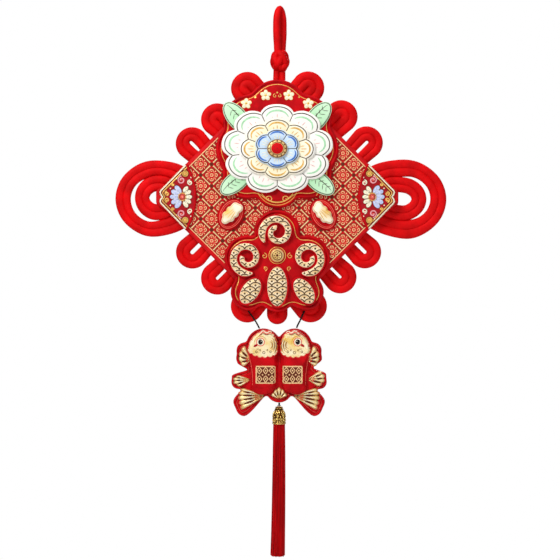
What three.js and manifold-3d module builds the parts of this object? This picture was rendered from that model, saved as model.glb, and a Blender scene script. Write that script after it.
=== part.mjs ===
// A hanging New Year ornament: a knot of thick velvet cord with looped petals round a padded, printed diamond panel,
// a stacked flower plaque, a cloud of scrolls, a padded double-fish pendant on two strings, and a capped tassel.
// Millimetres, +Z up, +X to the viewer's right, the viewer at -Y. The origin is the point where the hook bears,
// at the top of the inside of the hanging loop.
import * as THREE from "three";
import { mergeVertices } from "three/addons/utils/BufferGeometryUtils.js";
import Module from "manifold-3d";

const wasm = await Module();
wasm.setup();

// Driving dimensions
const GAP = 0.3; // left between pieces that lie on each other
const CORD = 8; // diameter of the velvet cord
const HUNG_OFFSET = -0.9;
const KNOT_CENTRE = { x: -2, z: -203.5 }; // centre of the diamond panel
const PANEL_HALF_DIAGONAL = 135.3;
const PANEL_THICK = 7;
const CORE_HALF_SIDE = 88; // the woven body of the knot, behind the panel
const CORE_THICK = 12;
const FISH_CENTRE = { x: 0, z: -392.7 };
const TASSEL_TOP = -431;
const TASSEL_END = -594.5;

// Depth of each layer, front to back along Y
const PANEL_BACK = -CORD / 2 - GAP;
const PANEL_FRONT = PANEL_BACK - PANEL_THICK;
const CORE_FRONT = CORD / 2 + GAP;
const SHIELD_THICK = 5;
const SHIELD_FRONT = PANEL_FRONT - GAP - SHIELD_THICK;

const velvet = { color: 0xc8040c, roughness: 0.85, metalness: 0 };
const darkVelvet = { color: 0x9c0208, roughness: 0.9, metalness: 0 };
const goldFoil = { color: 0xe9c98a, roughness: 0.45, metalness: 0.3 };
const goldMetal = { color: 0xd4a23a, roughness: 0.25, metalness: 1 };
const petalWhite = { color: 0xf6f4ee, roughness: 0.8, metalness: 0 };
const petalBlue = { color: 0xa9cdec, roughness: 0.8, metalness: 0 };
const leafGreen = { color: 0xbfe6c0, roughness: 0.8, metalness: 0 };
const creamCloth = { color: 0xf3e2a8, roughness: 0.8, metalness: 0 };
const floss = { color: 0xa80010, roughness: 0.6, metalness: 0 };
const darkString = { color: 0x2a1512, roughness: 0.7, metalness: 0 };

const object = new THREE.Group();
const hung = new THREE.Group(); // all below the stem hangs a little to the left of the hook
hung.position.x = HUNG_OFFSET;
const knot = new THREE.Group();
knot.position.set(KNOT_CENTRE.x, 0, KNOT_CENTRE.z);
const fish = new THREE.Group();
fish.position.set(FISH_CENTRE.x, 0, FISH_CENTRE.z);
object.add(hung);
hung.add(knot, fish);

function add(group, name, geometry, finish) {
  const mesh = new THREE.Mesh(geometry, new THREE.MeshStandardMaterial(finish));
  mesh.name = name;
  group.add(mesh);
}

// Turns a closed geometry's faces outwards if they point inwards.
function outward(geometry) {
  const p = geometry.attributes.position;
  const index = geometry.index.array;
  const corner = [new THREE.Vector3(), new THREE.Vector3(), new THREE.Vector3()];
  let volume = 0;
  for (let i = 0; i < index.length; i += 3) {
    corner.forEach((v, k) => v.fromBufferAttribute(p, index[i + k]));
    volume += corner[0].dot(corner[1].cross(corner[2]));
  }
  if (volume < 0) {
    for (let i = 0; i < index.length; i += 3) {
      [index[i + 1], index[i + 2]] = [index[i + 2], index[i + 1]];
    }
  }
  return geometry;
}

// A closed skin through rings of equally many points, with a fan of triangles over each end.
// hubs are the middle points of the two fans; without them each fan has the mean of its ring.
function loft(rings, hubs = []) {
  const n = rings[0].length;
  const points = rings.flat();
  const index = [];
  for (let r = 0; r < rings.length - 1; r++) {
    for (let i = 0; i < n; i++) {
      const a = r * n + i;
      const b = r * n + ((i + 1) % n);
      index.push(a, b, b + n, a, b + n, a + n);
    }
  }
  [0, rings.length - 1].forEach((r, end) => {
    const mean = rings[r].reduce((sum, p) => sum.add(p), new THREE.Vector3()).divideScalar(n);
    const hub = points.push(hubs[end] ?? mean) - 1;
    for (let i = 0; i < n; i++) {
      const a = r * n + i;
      const b = r * n + ((i + 1) % n);
      index.push(...(end ? [a, b, hub] : [b, a, hub]));
    }
  });
  const geometry = new THREE.BufferGeometry().setFromPoints(points);
  geometry.setIndex(index);
  return outward(geometry);
}

// Sweeps a section along stations in the XZ plane. A station is {x, z, wide, thick}, where wide and thick
// scale the section's [across, depth] points, and the depth runs along Y about the station's y, if it has one.
function sweep(stations, section) {
  const rings = stations.map((s, i) => {
    const before = stations[Math.max(i - 1, 0)];
    const after = stations[Math.min(i + 1, stations.length - 1)];
    const along = new THREE.Vector2(after.x - before.x, after.z - before.z).normalize();
    return section.map(([across, depth]) => {
      const side = across * s.wide;
      return new THREE.Vector3(s.x - along.y * side, (s.y ?? 0) + depth * s.thick, s.z + along.x * side);
    });
  });
  return loft(rings);
}

// A round section of unit radius.
function roundSection(sides) {
  return Array.from({ length: sides }, (_, i) => {
    const a = (2 * Math.PI * (i + 0.5)) / sides;
    return [Math.cos(a), Math.sin(a)];
  });
}

// Two cords that lie side by side, one unit wide and one unit thick together, with the groove between them.
const PAIR_SECTION = [
  [0, 0.3],
  [-0.23, 0.5],
  [-0.44, 0.35],
  [-0.5, 0],
  [-0.44, -0.35],
  [-0.23, -0.5],
  [0, -0.3],
  [0.23, -0.5],
  [0.44, -0.35],
  [0.5, 0],
  [0.44, 0.35],
  [0.23, 0.5],
];

// A smooth curve in the XZ plane through [x, z] points, as equally spaced stations of one width and thickness.
function stationsAlong(points, steps, wide, thick) {
  const curve = new THREE.CatmullRomCurve3(points.map(([x, z]) => new THREE.Vector3(x, 0, z)));
  return Array.from({ length: steps + 1 }, (_, i) => {
    const p = curve.getPointAt(i / steps);
    return { x: p.x, z: p.z, wide, thick };
  });
}

// Outline of a union of round lobes, seen from the middle: the farthest lobe in each direction.
function scallops(lobes, count, middle = { x: 0, z: 0 }) {
  return Array.from({ length: count }, (_, i) => {
    const a = (2 * Math.PI * i) / count;
    const reach = lobes.map((lobe) => {
      const x = lobe.x - middle.x;
      const z = lobe.z - middle.z;
      const along = x * Math.cos(a) + z * Math.sin(a);
      const under = lobe.r ** 2 - (x ** 2 + z ** 2 - along ** 2);
      return under < 0 ? 0 : along + Math.sqrt(under);
    });
    const r = Math.max(...reach);
    return [middle.x + r * Math.cos(a), middle.z + r * Math.sin(a)];
  });
}

function mirrored(rows) {
  return rows.flatMap((row) => (row.x === 0 ? [row] : [row, { ...row, x: -row.x }]));
}

// An upholstered pad: its outline, grown or shrunk about the middle at each level above its back.
function pad(outline, middle, back, levels) {
  const rings = levels.map(({ grow, rise }) =>
    outline.map(
      ([x, z]) =>
        new THREE.Vector3(
          middle.x + (x - middle.x) * grow,
          back - rise,
          middle.z + (z - middle.z) * grow,
        ),
    ),
  );
  const hubs = [levels[0], levels.at(-1)].map(
    ({ rise, crown }) => new THREE.Vector3(middle.x, back - (crown ?? rise), middle.z),
  );
  return loft(rings, hubs);
}

// Levels of a plate with softened edges, and of a full dome.
function plateLevels(thick, inset = 0.03) {
  return [
    { grow: 1 - inset, rise: 0 },
    { grow: 1, rise: thick * 0.3 },
    { grow: 1, rise: thick * 0.65 },
    { grow: 1 - inset, rise: thick },
  ];
}

function domeLevels(high) {
  return [
    { grow: 1, rise: 0 },
    { grow: 1, rise: high * 0.3 },
    { grow: 0.86, rise: high * 0.72 },
    { grow: 0.5, rise: high * 0.96, crown: high },
  ];
}

function ellipse(middle, wide, high, tilt, count) {
  return Array.from({ length: count }, (_, i) => {
    const a = (2 * Math.PI * i) / count;
    const x = (wide / 2) * Math.cos(a);
    const z = (high / 2) * Math.sin(a);
    return [
      middle.x + x * Math.cos(tilt) - z * Math.sin(tilt),
      middle.z + x * Math.sin(tilt) + z * Math.cos(tilt),
    ];
  });
}

function solidOf(geometry) {
  const bare = geometry.clone();
  ["normal", "uv"].forEach((name) => bare.deleteAttribute(name));
  const merged = mergeVertices(bare, 1e-4);
  return new wasm.Manifold(
    new wasm.Mesh({
      numProp: 3,
      vertProperties: merged.attributes.position.array,
      triVerts: new Uint32Array(merged.index.array),
    }),
  );
}

function fused(geometries) {
  const whole = geometries.map(solidOf).reduce((a, b) => a.add(b));
  const mesh = whole.getMesh();
  const geometry = new THREE.BufferGeometry();
  geometry.setAttribute("position", new THREE.BufferAttribute(mesh.vertProperties, 3));
  geometry.setIndex(new THREE.BufferAttribute(mesh.triVerts, 1));
  return geometry;
}

// Hanging loop, button knot and stem: one length of cord
const LOOP_TWIST = THREE.MathUtils.degToRad(50); // the loop hangs turned, so its strands lie side by side in front view
const LOOP_CORD_RADIUS = 3.5;
const LOOP_HALF = [
  [0, 2.8],
  [3.1, 0.2],
  [4.7, -5],
  [5.5, -14],
  [5.4, -26],
  [4.4, -37],
  [3.6, -47],
];
const BUTTON = { top: -42.5, bottom: -66.8, radius: 11.3, lobes: 4, bulge: 0.1 };
const STEM = { bottom: -84.6, wide: 14.2, thick: 7.8 };

function hangingLoop() {
  const left = LOOP_HALF.slice(1).map(([x, z]) => [-x, z]);
  const stations = stationsAlong([...left.reverse(), ...LOOP_HALF], 26, 1, 1);
  const bendHeight = 8;
  stations.forEach((s) => {
    const pinch = 0.2 * THREE.MathUtils.smoothstep(s.z, -bendHeight, 2);
    s.wide = LOOP_CORD_RADIUS * (1 - pinch);
    s.thick = s.wide;
  });
  return sweep(stations, roundSection(8)).rotateZ(LOOP_TWIST);
}

// The button knot shows two tiers of bulging turns, the lower one turned by half a bulge.
function buttonKnot() {
  const tall = BUTTON.top - BUTTON.bottom;
  const levels = [0.02, 0.12, 0.3, 0.45, 0.52, 0.6, 0.76, 0.9, 0.98];
  const aroundSteps = 16;
  const rings = levels.map((level) => {
    const waist = 1 - 0.1 * Math.exp(-(((level - 0.5) / 0.06) ** 2));
    const round = Math.sin(Math.PI * level) ** 0.45 * waist;
    const phase = (level < 0.5 ? 1 : -1) * (Math.PI / 2);
    return Array.from({ length: aroundSteps }, (_, i) => {
      const a = (2 * Math.PI * i) / aroundSteps;
      const r = BUTTON.radius * round * (1 - BUTTON.bulge / 2 + (BUTTON.bulge / 2) * Math.cos(BUTTON.lobes * a + phase));
      return new THREE.Vector3(r * Math.cos(a), r * Math.sin(a), BUTTON.top - tall * level);
    });
  });
  return loft(rings);
}

function stem() {
  const inKnot = 8;
  const stations = [
    { x: 0, z: BUTTON.bottom + inKnot, wide: STEM.wide * 0.8, thick: STEM.thick },
    { x: 0, z: BUTTON.bottom - 2, wide: STEM.wide * 0.92, thick: STEM.thick },
    { x: -0.4, z: STEM.bottom + 8, wide: STEM.wide, thick: STEM.thick },
    { x: -0.9, z: STEM.bottom, wide: STEM.wide * 0.9, thick: STEM.thick },
  ];
  return sweep(stations, PAIR_SECTION);
}
add(object, "hanging_loop", fused([hangingLoop(), buttonKnot(), stem()]), velvet);

// The four edges of the diamond: along runs towards the top or bottom corner, out points away from the panel
const HALF_SIDE = PANEL_HALF_DIAGONAL / Math.SQRT2;
const EDGES = {
  upper_left: { side: -1, up: 1 },
  upper_right: { side: 1, up: 1 },
  lower_left: { side: -1, up: -1 },
  lower_right: { side: 1, up: -1 },
};

// A point by its place along an edge, from the edge's middle, and its distance out from the edge.
function onEdge(edge, along, out) {
  const { side, up } = EDGES[edge];
  const x = (side * (HALF_SIDE - along + out)) / Math.SQRT2;
  const z = (up * (HALF_SIDE + along + out)) / Math.SQRT2;
  return { x, z };
}

// Petals: each is a doubled cord bent round a slit. along and out place the centre of the round end,
// and a slit that is shut closes halfway to the panel.
const PETAL_RADIUS = 18;
const PETAL_LEG_IN = 14; // how far the legs run in behind the panel's edge
const PETALS = [
  { edge: "upper_left", along: -24, out: 11.6, slit: 3.2, shut: true },
  { edge: "upper_left", along: 13.9, out: 10.5, slit: 0.6 },
  { edge: "upper_left", along: 61.3, out: 11.6, slit: 0.6 },
  { edge: "upper_right", along: -26.5, out: 15.4, slit: 3.2 },
  { edge: "upper_right", along: 13.1, out: 16.1, slit: 0.6 },
  { edge: "upper_right", along: 61, out: 12.6, slit: 0.6 },
  { edge: "lower_left", along: -23.3, out: 11.9, slit: 4.2 },
  { edge: "lower_left", along: 16.1, out: 12.7, slit: 3 },
  { edge: "lower_left", along: 60.6, out: 11.2, slit: 1.6 },
  { edge: "lower_right", along: -25.5, out: 13.8, slit: 3.6 },
  { edge: "lower_right", along: 12.8, out: 14.1, slit: 2.8 },
  { edge: "lower_right", along: 58, out: 13.6, slit: 1.6 },
];

// The petal narrows by this share from its round end to the tips of its legs.
const PETAL_TAPER = 0.16;
const PETAL_ARC_STEPS = 9;

function petal({ edge, along, out, slit, shut }) {
  const stations = [];
  const station = (acrossSign, outAt, angle) => {
    const share = THREE.MathUtils.clamp((out - outAt) / (out + PETAL_LEG_IN), 0, 1);
    const half = PETAL_RADIUS * (1 - PETAL_TAPER * share);
    const slitHere = shut && share > 0.2 ? 0.5 : slit;
    const wide = half - slitHere / 2;
    const middle = slitHere / 2 + wide / 2;
    const p = onEdge(edge, along + acrossSign * middle * Math.cos(angle), outAt + middle * Math.sin(angle));
    stations.push({ ...p, wide, thick: CORD });
  };
  const halfOut = out * 0.55;
  station(-1, -PETAL_LEG_IN, 0);
  station(-1, shut ? halfOut : 0, 0);
  for (let i = 0; i <= PETAL_ARC_STEPS; i++) {
    station(-1, out, (Math.PI * i) / PETAL_ARC_STEPS);
  }
  station(1, shut ? halfOut : 0, 0);
  station(1, -PETAL_LEG_IN, 0);
  return sweep(stations, PAIR_SECTION);
}
PETALS.forEach((row, i) => {
  const nth = (i % 3) + 1;
  add(knot, `petal_${row.edge}_${nth}`, petal(row), velvet);
});

// Side loops: an outer and an inner pair of cords that leave the panel by one edge and come back by the other
const SIDE_LOOPS = [
  { name: "left_outer", side: -1, x: 130.1, z: -1.2, reach: 38.6, high: 34.3, wide: 15.7, along: -56, legIn: 14 },
  { name: "left_inner", side: -1, x: 130.1, z: -0.8, reach: 17.3, high: 16.6, wide: 15.8, along: -75, legIn: 9 },
  { name: "right_outer", side: 1, x: 134.9, z: -1.9, reach: 41.5, high: 35.7, wide: 16.2, along: -56.4, legIn: 14 },
  { name: "right_inner", side: 1, x: 134.9, z: -1.7, reach: 20.1, high: 15.8, wide: 15.8, along: -76.2, legIn: 8 },
];

function sideLoop({ side, x, z, reach, high, wide, along, legIn }) {
  const name = side < 0 ? "left" : "right";
  const [top, bottom] = [`upper_${name}`, `lower_${name}`];
  const turn = [80, 55, 28, 0, -28, -55, -80].map(THREE.MathUtils.degToRad);
  const points = [
    onEdge(top, along, -legIn),
    onEdge(top, along, 0),
    ...turn.map((a) => ({ x: side * (x + reach * Math.cos(a)), z: z + high * Math.sin(a) })),
    onEdge(bottom, along, 0),
    onEdge(bottom, along, -legIn),
  ];
  const steps = 22;
  return sweep(stationsAlong(points.map((p) => [p.x, p.z]), steps, wide, CORD), PAIR_SECTION);
}
SIDE_LOOPS.forEach((row) => add(knot, `side_loop_${row.name}`, sideLoop(row), velvet));

// Bottom loop: the single cord's last turn, at the knot's lower corner
const BOTTOM_LOOP = { z: -127, radius: 6.7, legTop: -120.4 };

function bottomLoop() {
  const arcSteps = 8;
  const stations = [{ x: -BOTTOM_LOOP.radius, z: BOTTOM_LOOP.legTop }];
  for (let i = 0; i <= arcSteps; i++) {
    const a = Math.PI * (1 + i / arcSteps);
    stations.push({ x: BOTTOM_LOOP.radius * Math.cos(a), z: BOTTOM_LOOP.z + BOTTOM_LOOP.radius * Math.sin(a) });
  }
  stations.push({ x: BOTTOM_LOOP.radius, z: BOTTOM_LOOP.legTop });
  const radius = CORD / 2;
  return sweep(stations.map((s) => ({ ...s, wide: radius, thick: radius })), roundSection(8));
}
add(knot, "bottom_loop", bottomLoop(), velvet);

// Core: the woven body, with one ridge for each doubled strand that passes over
const CORE_CELLS = 11;
const CORE_RIDGE = 4;

function core() {
  const cell = (2 * CORE_HALF_SIDE) / CORE_CELLS;
  const low = CORE_FRONT + CORE_THICK - CORE_RIDGE;
  const high = CORE_FRONT + CORE_THICK;
  const points = [];
  const index = [];
  const point = (a, b, y) => points.push(new THREE.Vector3((a - b) / Math.SQRT2, y, (a + b) / Math.SQRT2)) - 1;
  const grid = [];
  for (let i = 0; i <= CORE_CELLS; i++) {
    grid.push([]);
    for (let j = 0; j <= CORE_CELLS; j++) {
      grid[i].push(point(i * cell - CORE_HALF_SIDE, j * cell - CORE_HALF_SIDE, low));
    }
  }
  const nearEnd = 0.14;
  for (let i = 0; i < CORE_CELLS; i++) {
    for (let j = 0; j < CORE_CELLS; j++) {
      const corners = [grid[i][j], grid[i + 1][j], grid[i + 1][j + 1], grid[i][j + 1]];
      const turned = (i + j) % 2;
      const [a, b, c, d] = turned ? [...corners.slice(1), corners[0]] : corners;
      const ends = turned
        ? [[0.5, nearEnd], [0.5, 1 - nearEnd]]
        : [[nearEnd, 0.5], [1 - nearEnd, 0.5]];
      const [p, q] = ends.map(([s, t]) =>
        point((i + s) * cell - CORE_HALF_SIDE, (j + t) * cell - CORE_HALF_SIDE, high),
      );
      index.push(a, b, q, a, q, p, d, p, q, d, q, c, a, p, d, b, c, q);
    }
  }
  const rim = [];
  for (let i = 0; i < CORE_CELLS; i++) rim.push([i, 0]);
  for (let j = 0; j < CORE_CELLS; j++) rim.push([CORE_CELLS, j]);
  for (let i = CORE_CELLS; i > 0; i--) rim.push([i, CORE_CELLS]);
  for (let j = CORE_CELLS; j > 0; j--) rim.push([0, j]);
  const front = rim.map(([i, j]) => point(i * cell - CORE_HALF_SIDE, j * cell - CORE_HALF_SIDE, CORE_FRONT));
  const hub = point(0, 0, CORE_FRONT);
  rim.forEach(([i, j], k) => {
    const next = (k + 1) % rim.length;
    const [i2, j2] = rim[next];
    index.push(grid[i][j], front[k], front[next], grid[i][j], front[next], grid[i2][j2]);
    index.push(front[k], hub, front[next]);
  });
  const geometry = new THREE.BufferGeometry().setFromPoints(points);
  geometry.setIndex(index);
  return outward(geometry);
}
add(knot, "knot_core", core(), darkVelvet);

// Panel: the diamond board, notched at its side tips and cut short where the plaque and the cloud cover it
const PANEL_TIP = { reach: 131.5, notch: 2.7 };
const PANEL_TOP = 123;
const PANEL_BOTTOM = -117;

function panelOutline() {
  const tipHalf = PANEL_HALF_DIAGONAL - PANEL_TIP.reach;
  const topHalf = PANEL_HALF_DIAGONAL - PANEL_TOP;
  const bottomHalf = PANEL_HALF_DIAGONAL + PANEL_BOTTOM;
  const right = [
    [bottomHalf, PANEL_BOTTOM],
    [PANEL_HALF_DIAGONAL / 2, -PANEL_HALF_DIAGONAL / 2],
    [PANEL_TIP.reach, -tipHalf],
    [PANEL_TIP.reach - PANEL_TIP.notch, 0],
    [PANEL_TIP.reach, tipHalf],
    [PANEL_HALF_DIAGONAL / 2, PANEL_HALF_DIAGONAL / 2],
    [topHalf, PANEL_TOP],
  ];
  return [...right, ...right.toReversed().map(([x, z]) => [-x, z])];
}
add(knot, "panel", pad(panelOutline(), { x: 0, z: 0 }, PANEL_BACK, plateLevels(PANEL_THICK, 0.012)), velvet);

// Corner patches: raised plates on the panel's side tips
const PATCH = { tip: 127.6, end: 98.5, endZ: 35.5, bulge: 10.5, thick: 2.6 };

function cornerPatch(side) {
  const innerSteps = 12;
  const points = [
    [PATCH.tip - 2.4, 0],
    [PATCH.tip, 3.6],
    [PATCH.end, PATCH.endZ],
  ];
  for (let i = 1; i < innerSteps; i++) {
    const z = PATCH.endZ * (1 - (2 * i) / innerSteps);
    const scallop = 1.6 * Math.abs(Math.cos((Math.PI * 2 * i) / innerSteps));
    points.push([PATCH.end - PATCH.bulge * (1 - (z / PATCH.endZ) ** 2) - scallop, z]);
  }
  points.push([PATCH.end, -PATCH.endZ], [PATCH.tip, -3.6]);
  const outline = points.map(([x, z]) => [side * x, z]);
  const middle = { x: side * (PATCH.end + 5), z: 0 };
  return pad(outline, middle, PANEL_FRONT - GAP, plateLevels(PATCH.thick));
}
add(knot, "corner_patch_left", cornerPatch(-1), darkVelvet);
add(knot, "corner_patch_right", cornerPatch(1), darkVelvet);

// Plaque: a scalloped shield, leaves, and a flower in three tiers with a boss
const FLOWER = { x: 0, z: 51 };
const SHIELD_LOBES = mirrored([
  { x: 0, z: 94, r: 33 },
  { x: 29.7, z: 81.7, r: 29 },
  { x: 36, z: 52, r: 30 },
  { x: 33, z: 24, r: 26 },
  { x: 0, z: 14, r: 26 },
]);
const LEAF_THICK = 2;
const TIER_THICK = 2.6;
const TIERS = [
  { name: "flower_outer", petals: 9, wide: 121, high: 97, dent: 0.13, finish: petalWhite },
  { name: "flower_middle", petals: 8, wide: 82, high: 66, dent: 0.12, finish: petalWhite },
  { name: "flower_inner", petals: 6, wide: 50, high: 42, dent: 0.12, finish: petalBlue },
];
const LEAVES = [
  { name: "leaf_upper", x: 43, z: 85, wide: 42, high: 22, tilt: 50 },
  { name: "leaf_lower", x: 45, z: 16, wide: 40, high: 21, tilt: -38 },
];

function rosette({ petals, wide, high, dent }) {
  const stepsPerPetal = 6;
  const count = petals * stepsPerPetal;
  return Array.from({ length: count }, (_, i) => {
    const a = (2 * Math.PI * i) / count + Math.PI / 2;
    const lobe = Math.abs(Math.cos((petals * (a - Math.PI / 2)) / 2));
    const r = 1 - dent * (1 - lobe) ** 1.6;
    return [FLOWER.x + (wide / 2) * r * Math.cos(a), FLOWER.z + (high / 2) * r * Math.sin(a)];
  });
}

add(knot, "shield", pad(scallops(SHIELD_LOBES, 60, FLOWER), FLOWER, PANEL_FRONT - GAP, plateLevels(SHIELD_THICK)), velvet);
for (const [word, side] of [["left", -1], ["right", 1]]) {
  LEAVES.forEach(({ name, x, z, wide, high, tilt }) => {
    const middle = { x: side * x, z };
    const outline = ellipse(middle, wide, high, side * THREE.MathUtils.degToRad(tilt), 14);
    add(knot, `${name}_${word}`, pad(outline, middle, SHIELD_FRONT - GAP, plateLevels(LEAF_THICK, 0.08)), leafGreen);
  });
}
let tierBack = SHIELD_FRONT - 2 * GAP - LEAF_THICK;
TIERS.forEach((tier) => {
  add(knot, tier.name, pad(rosette(tier), FLOWER, tierBack, plateLevels(TIER_THICK, 0.05)), tier.finish);
  tierBack -= TIER_THICK + GAP;
});
add(knot, "flower_boss", pad(ellipse(FLOWER, 22, 20, 0, 14), FLOWER, tierBack, domeLevels(4)), goldFoil);

// Side buds: a cream bud on a red pad, either side below the plaque
const BUD = { x: 50, z: -19, wide: 27, high: 36, tilt: -28, backThick: 4, frontHigh: 4 };
for (const [word, side] of [["left", -1], ["right", 1]]) {
  const middle = { x: side * BUD.x, z: BUD.z };
  const tilt = -side * THREE.MathUtils.degToRad(BUD.tilt);
  const rim = 4;
  const back = ellipse(middle, BUD.wide, BUD.high, tilt, 18);
  const front = ellipse(middle, BUD.wide - 2 * rim, BUD.high - 2 * rim, tilt, 16);
  add(knot, `bud_back_${word}`, pad(back, middle, PANEL_FRONT - GAP, plateLevels(BUD.backThick, 0.08)), velvet);
  add(knot, `bud_${word}`, pad(front, middle, PANEL_FRONT - 2 * GAP - BUD.backThick, domeLevels(BUD.frontHigh)), creamCloth);
}

// Cloud: three scrolls, a bead and three hanging petals on a red backing
const CLOUD = { x: 0, z: -70 };
const CLOUD_LOBES = mirrored([
  { x: 0, z: -38.5, r: 24.3 },
  { x: 32.5, z: -66, r: 24.3 },
  { x: 25, z: -95, r: 20 },
  { x: 31, z: -103, r: 19.5 },
  { x: 0, z: -104, r: 20.5 },
]);
const SCROLLS = [
  { name: "scroll_top", x: 0, z: -38.5, start: 94, hand: 1 },
  { name: "scroll_left", x: -32.5, z: -66, start: 164, hand: 1 },
  { name: "scroll_right", x: 32.5, z: -66, start: 16, hand: -1 },
];
const SCROLL = { innerRadius: 4.8, outerRadius: 17.5, turns: 1.35, innerWide: 7.8, outerWide: 11.2, high: 5, steps: 28 };
const CLOUD_PETALS = [
  { name: "cloud_petal_middle", x: 0, z: -97, wide: 25, high: 46, tilt: 0 },
  { name: "cloud_petal_left", x: -29, z: -102, wide: 22, high: 34, tilt: -35 },
  { name: "cloud_petal_right", x: 29, z: -102, wide: 22, high: 34, tilt: 35 },
];
const BEAD = { x: 0, z: -63.4, wide: 15 };
const CLOUD_PAD_BACK = SHIELD_FRONT - GAP;

// A flat-backed, rounded strip of unit width whose crown is one unit above its back, towards the viewer.
const STRIP_SECTION = [
  [-0.5, 0],
  [0.5, 0],
  [0.5, -0.35],
  [0.34, -0.82],
  [0, -1],
  [-0.34, -0.82],
  [-0.5, -0.35],
];

function scroll({ x, z, start, hand }) {
  const stations = Array.from({ length: SCROLL.steps + 1 }, (_, i) => {
    const share = i / SCROLL.steps;
    const a = THREE.MathUtils.degToRad(start) + hand * 2 * Math.PI * SCROLL.turns * share;
    const r = THREE.MathUtils.lerp(SCROLL.innerRadius, SCROLL.outerRadius, share);
    const taper = share > 0.9 ? 1 - ((share - 0.9) / 0.1) * 0.6 : 1;
    const wide = THREE.MathUtils.lerp(SCROLL.innerWide, SCROLL.outerWide, share) * taper;
    return { x: x + r * Math.cos(a), z: z + r * Math.sin(a), y: CLOUD_PAD_BACK, wide, thick: SCROLL.high };
  });
  return sweep(stations, STRIP_SECTION);
}

add(knot, "cloud_back", pad(scallops(CLOUD_LOBES, 52, CLOUD), CLOUD, PANEL_FRONT - GAP, plateLevels(SHIELD_THICK)), velvet);
SCROLLS.forEach((row) => add(knot, row.name, scroll(row), goldFoil));
CLOUD_PETALS.forEach(({ name, x, z, wide, high, tilt }) => {
  const outline = ellipse({ x, z }, wide, high, THREE.MathUtils.degToRad(tilt), 18);
  add(knot, name, pad(outline, { x, z }, CLOUD_PAD_BACK, domeLevels(SCROLL.high)), goldFoil);
});
add(knot, "cloud_bead", pad(ellipse(BEAD, BEAD.wide, BEAD.wide, 0, 12), BEAD, CLOUD_PAD_BACK, domeLevels(4)), goldFoil);

// Fish pendant: two fish side by side on one padded backing, heads up, with a lotus between their tails
const FISH_BACK_THICK = 6;
const FISH_RIM = 4.2; // how far the padded edge stands out round the fins
const FISH_FRONT = -FISH_BACK_THICK / 2 - GAP;
const FISH_BODY = { x: 16.8, top: 43, bottom: -26, half: 15.6, high: 6 };
const FIN_THICK = 2.2;
const FINS = [
  {
    name: "fish_fin",
    lobes: [
      { x: 37.8, z: 22.5, r: 4.6 },
      { x: 38, z: 14, r: 4.8 },
      { x: 37, z: 7, r: 3.8 },
    ],
  },
  {
    name: "fish_side_fin",
    lobes: [
      { x: 42.5, z: -5.5, r: 5 },
      { x: 44, z: -12, r: 4 },
      { x: 37.6, z: -11.5, r: 3.2 },
    ],
  },
  {
    name: "fish_tail",
    lobes: [
      { x: 29, z: -30, r: 4 },
      { x: 40, z: -33, r: 6 },
      { x: 37.5, z: -40, r: 5.5 },
    ],
  },
];
const FISH_LOBES = mirrored([
  { x: 17, z: 27.5, r: 19 },
  { x: 17, z: 8, r: 19 },
  { x: 18, z: -10, r: 18 },
  { x: 0, z: -20, r: 14.5 },
  ...FINS.flatMap(({ lobes }) => lobes.map((lobe) => ({ ...lobe, r: lobe.r + FISH_RIM }))),
]);

function fishBody(side) {
  const steps = 11;
  const outline = [];
  const tall = FISH_BODY.top - FISH_BODY.bottom;
  const station = (i) => {
    const share = i / steps;
    return {
      x: side * (FISH_BODY.x + 2 * share ** 2),
      z: FISH_BODY.top - tall * share,
      half: FISH_BODY.half * Math.sin(Math.PI * (0.08 + 0.84 * share)) ** 0.5,
    };
  };
  for (let i = 0; i <= steps; i++) {
    const { x, z, half } = station(i);
    outline.push([x + half, z]);
  }
  for (let i = steps; i >= 0; i--) {
    const { x, z, half } = station(i);
    outline.push([x - half, z]);
  }
  const middle = { x: side * (FISH_BODY.x + 0.5), z: FISH_BODY.top - tall / 2 };
  return pad(outline, middle, FISH_FRONT, domeLevels(FISH_BODY.high));
}

function fin(side, lobes) {
  const flipped = lobes.map((lobe) => ({ ...lobe, x: side * lobe.x }));
  const middle = {
    x: flipped.reduce((sum, lobe) => sum + lobe.x, 0) / lobes.length,
    z: flipped.reduce((sum, lobe) => sum + lobe.z, 0) / lobes.length,
  };
  return pad(scallops(flipped, 16, middle), middle, FISH_FRONT, plateLevels(FIN_THICK, 0.12));
}

const fishBackLevels = plateLevels(FISH_BACK_THICK, 0.05);
add(fish, "fish_back", pad(scallops(FISH_LOBES, 76), { x: 0, z: 0 }, FISH_BACK_THICK / 2, fishBackLevels), velvet);
for (const [word, side] of [["left", -1], ["right", 1]]) {
  add(fish, `fish_body_${word}`, fishBody(side), velvet);
  FINS.forEach(({ name, lobes }) => add(fish, `${name}_${word}`, fin(side, lobes), goldFoil));
}
const LOTUS = { x: 0, z: -25 };
add(fish, "fish_lotus", pad(ellipse(LOTUS, 14, 11, 0, 12), LOTUS, FISH_FRONT, domeLevels(3)), goldFoil);

// Strings: two carry the pendant from the lowest petals, one carries the tassel
const STRING_RADIUS = 0.7;
const onPetal = -CORD / 2 - GAP - STRING_RADIUS;
const STRINGS = [
  {
    name: "string_left",
    route: [
      [-33.3, onPetal - 0.05, -327.3],
      [-29, onPetal - 0.1, -333.5],
      [-25.4, onPetal + 0.6, -338.6],
      [-22.8, -2.4, -343.4],
      [-21.6, -1, -346],
    ],
  },
  {
    name: "string_right",
    route: [
      [27.6, onPetal, -327.3],
      [25, onPetal, -332.6],
      [22.8, onPetal + 0.6, -337.6],
      [20.2, -2.4, -342.8],
      [19.2, -1, -345.5],
    ],
  },
  {
    name: "string_tassel",
    route: [
      [0, 0, -427.7],
      [0.2, 0, -429],
      [0, 0, -430.5],
    ],
  },
];

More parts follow.
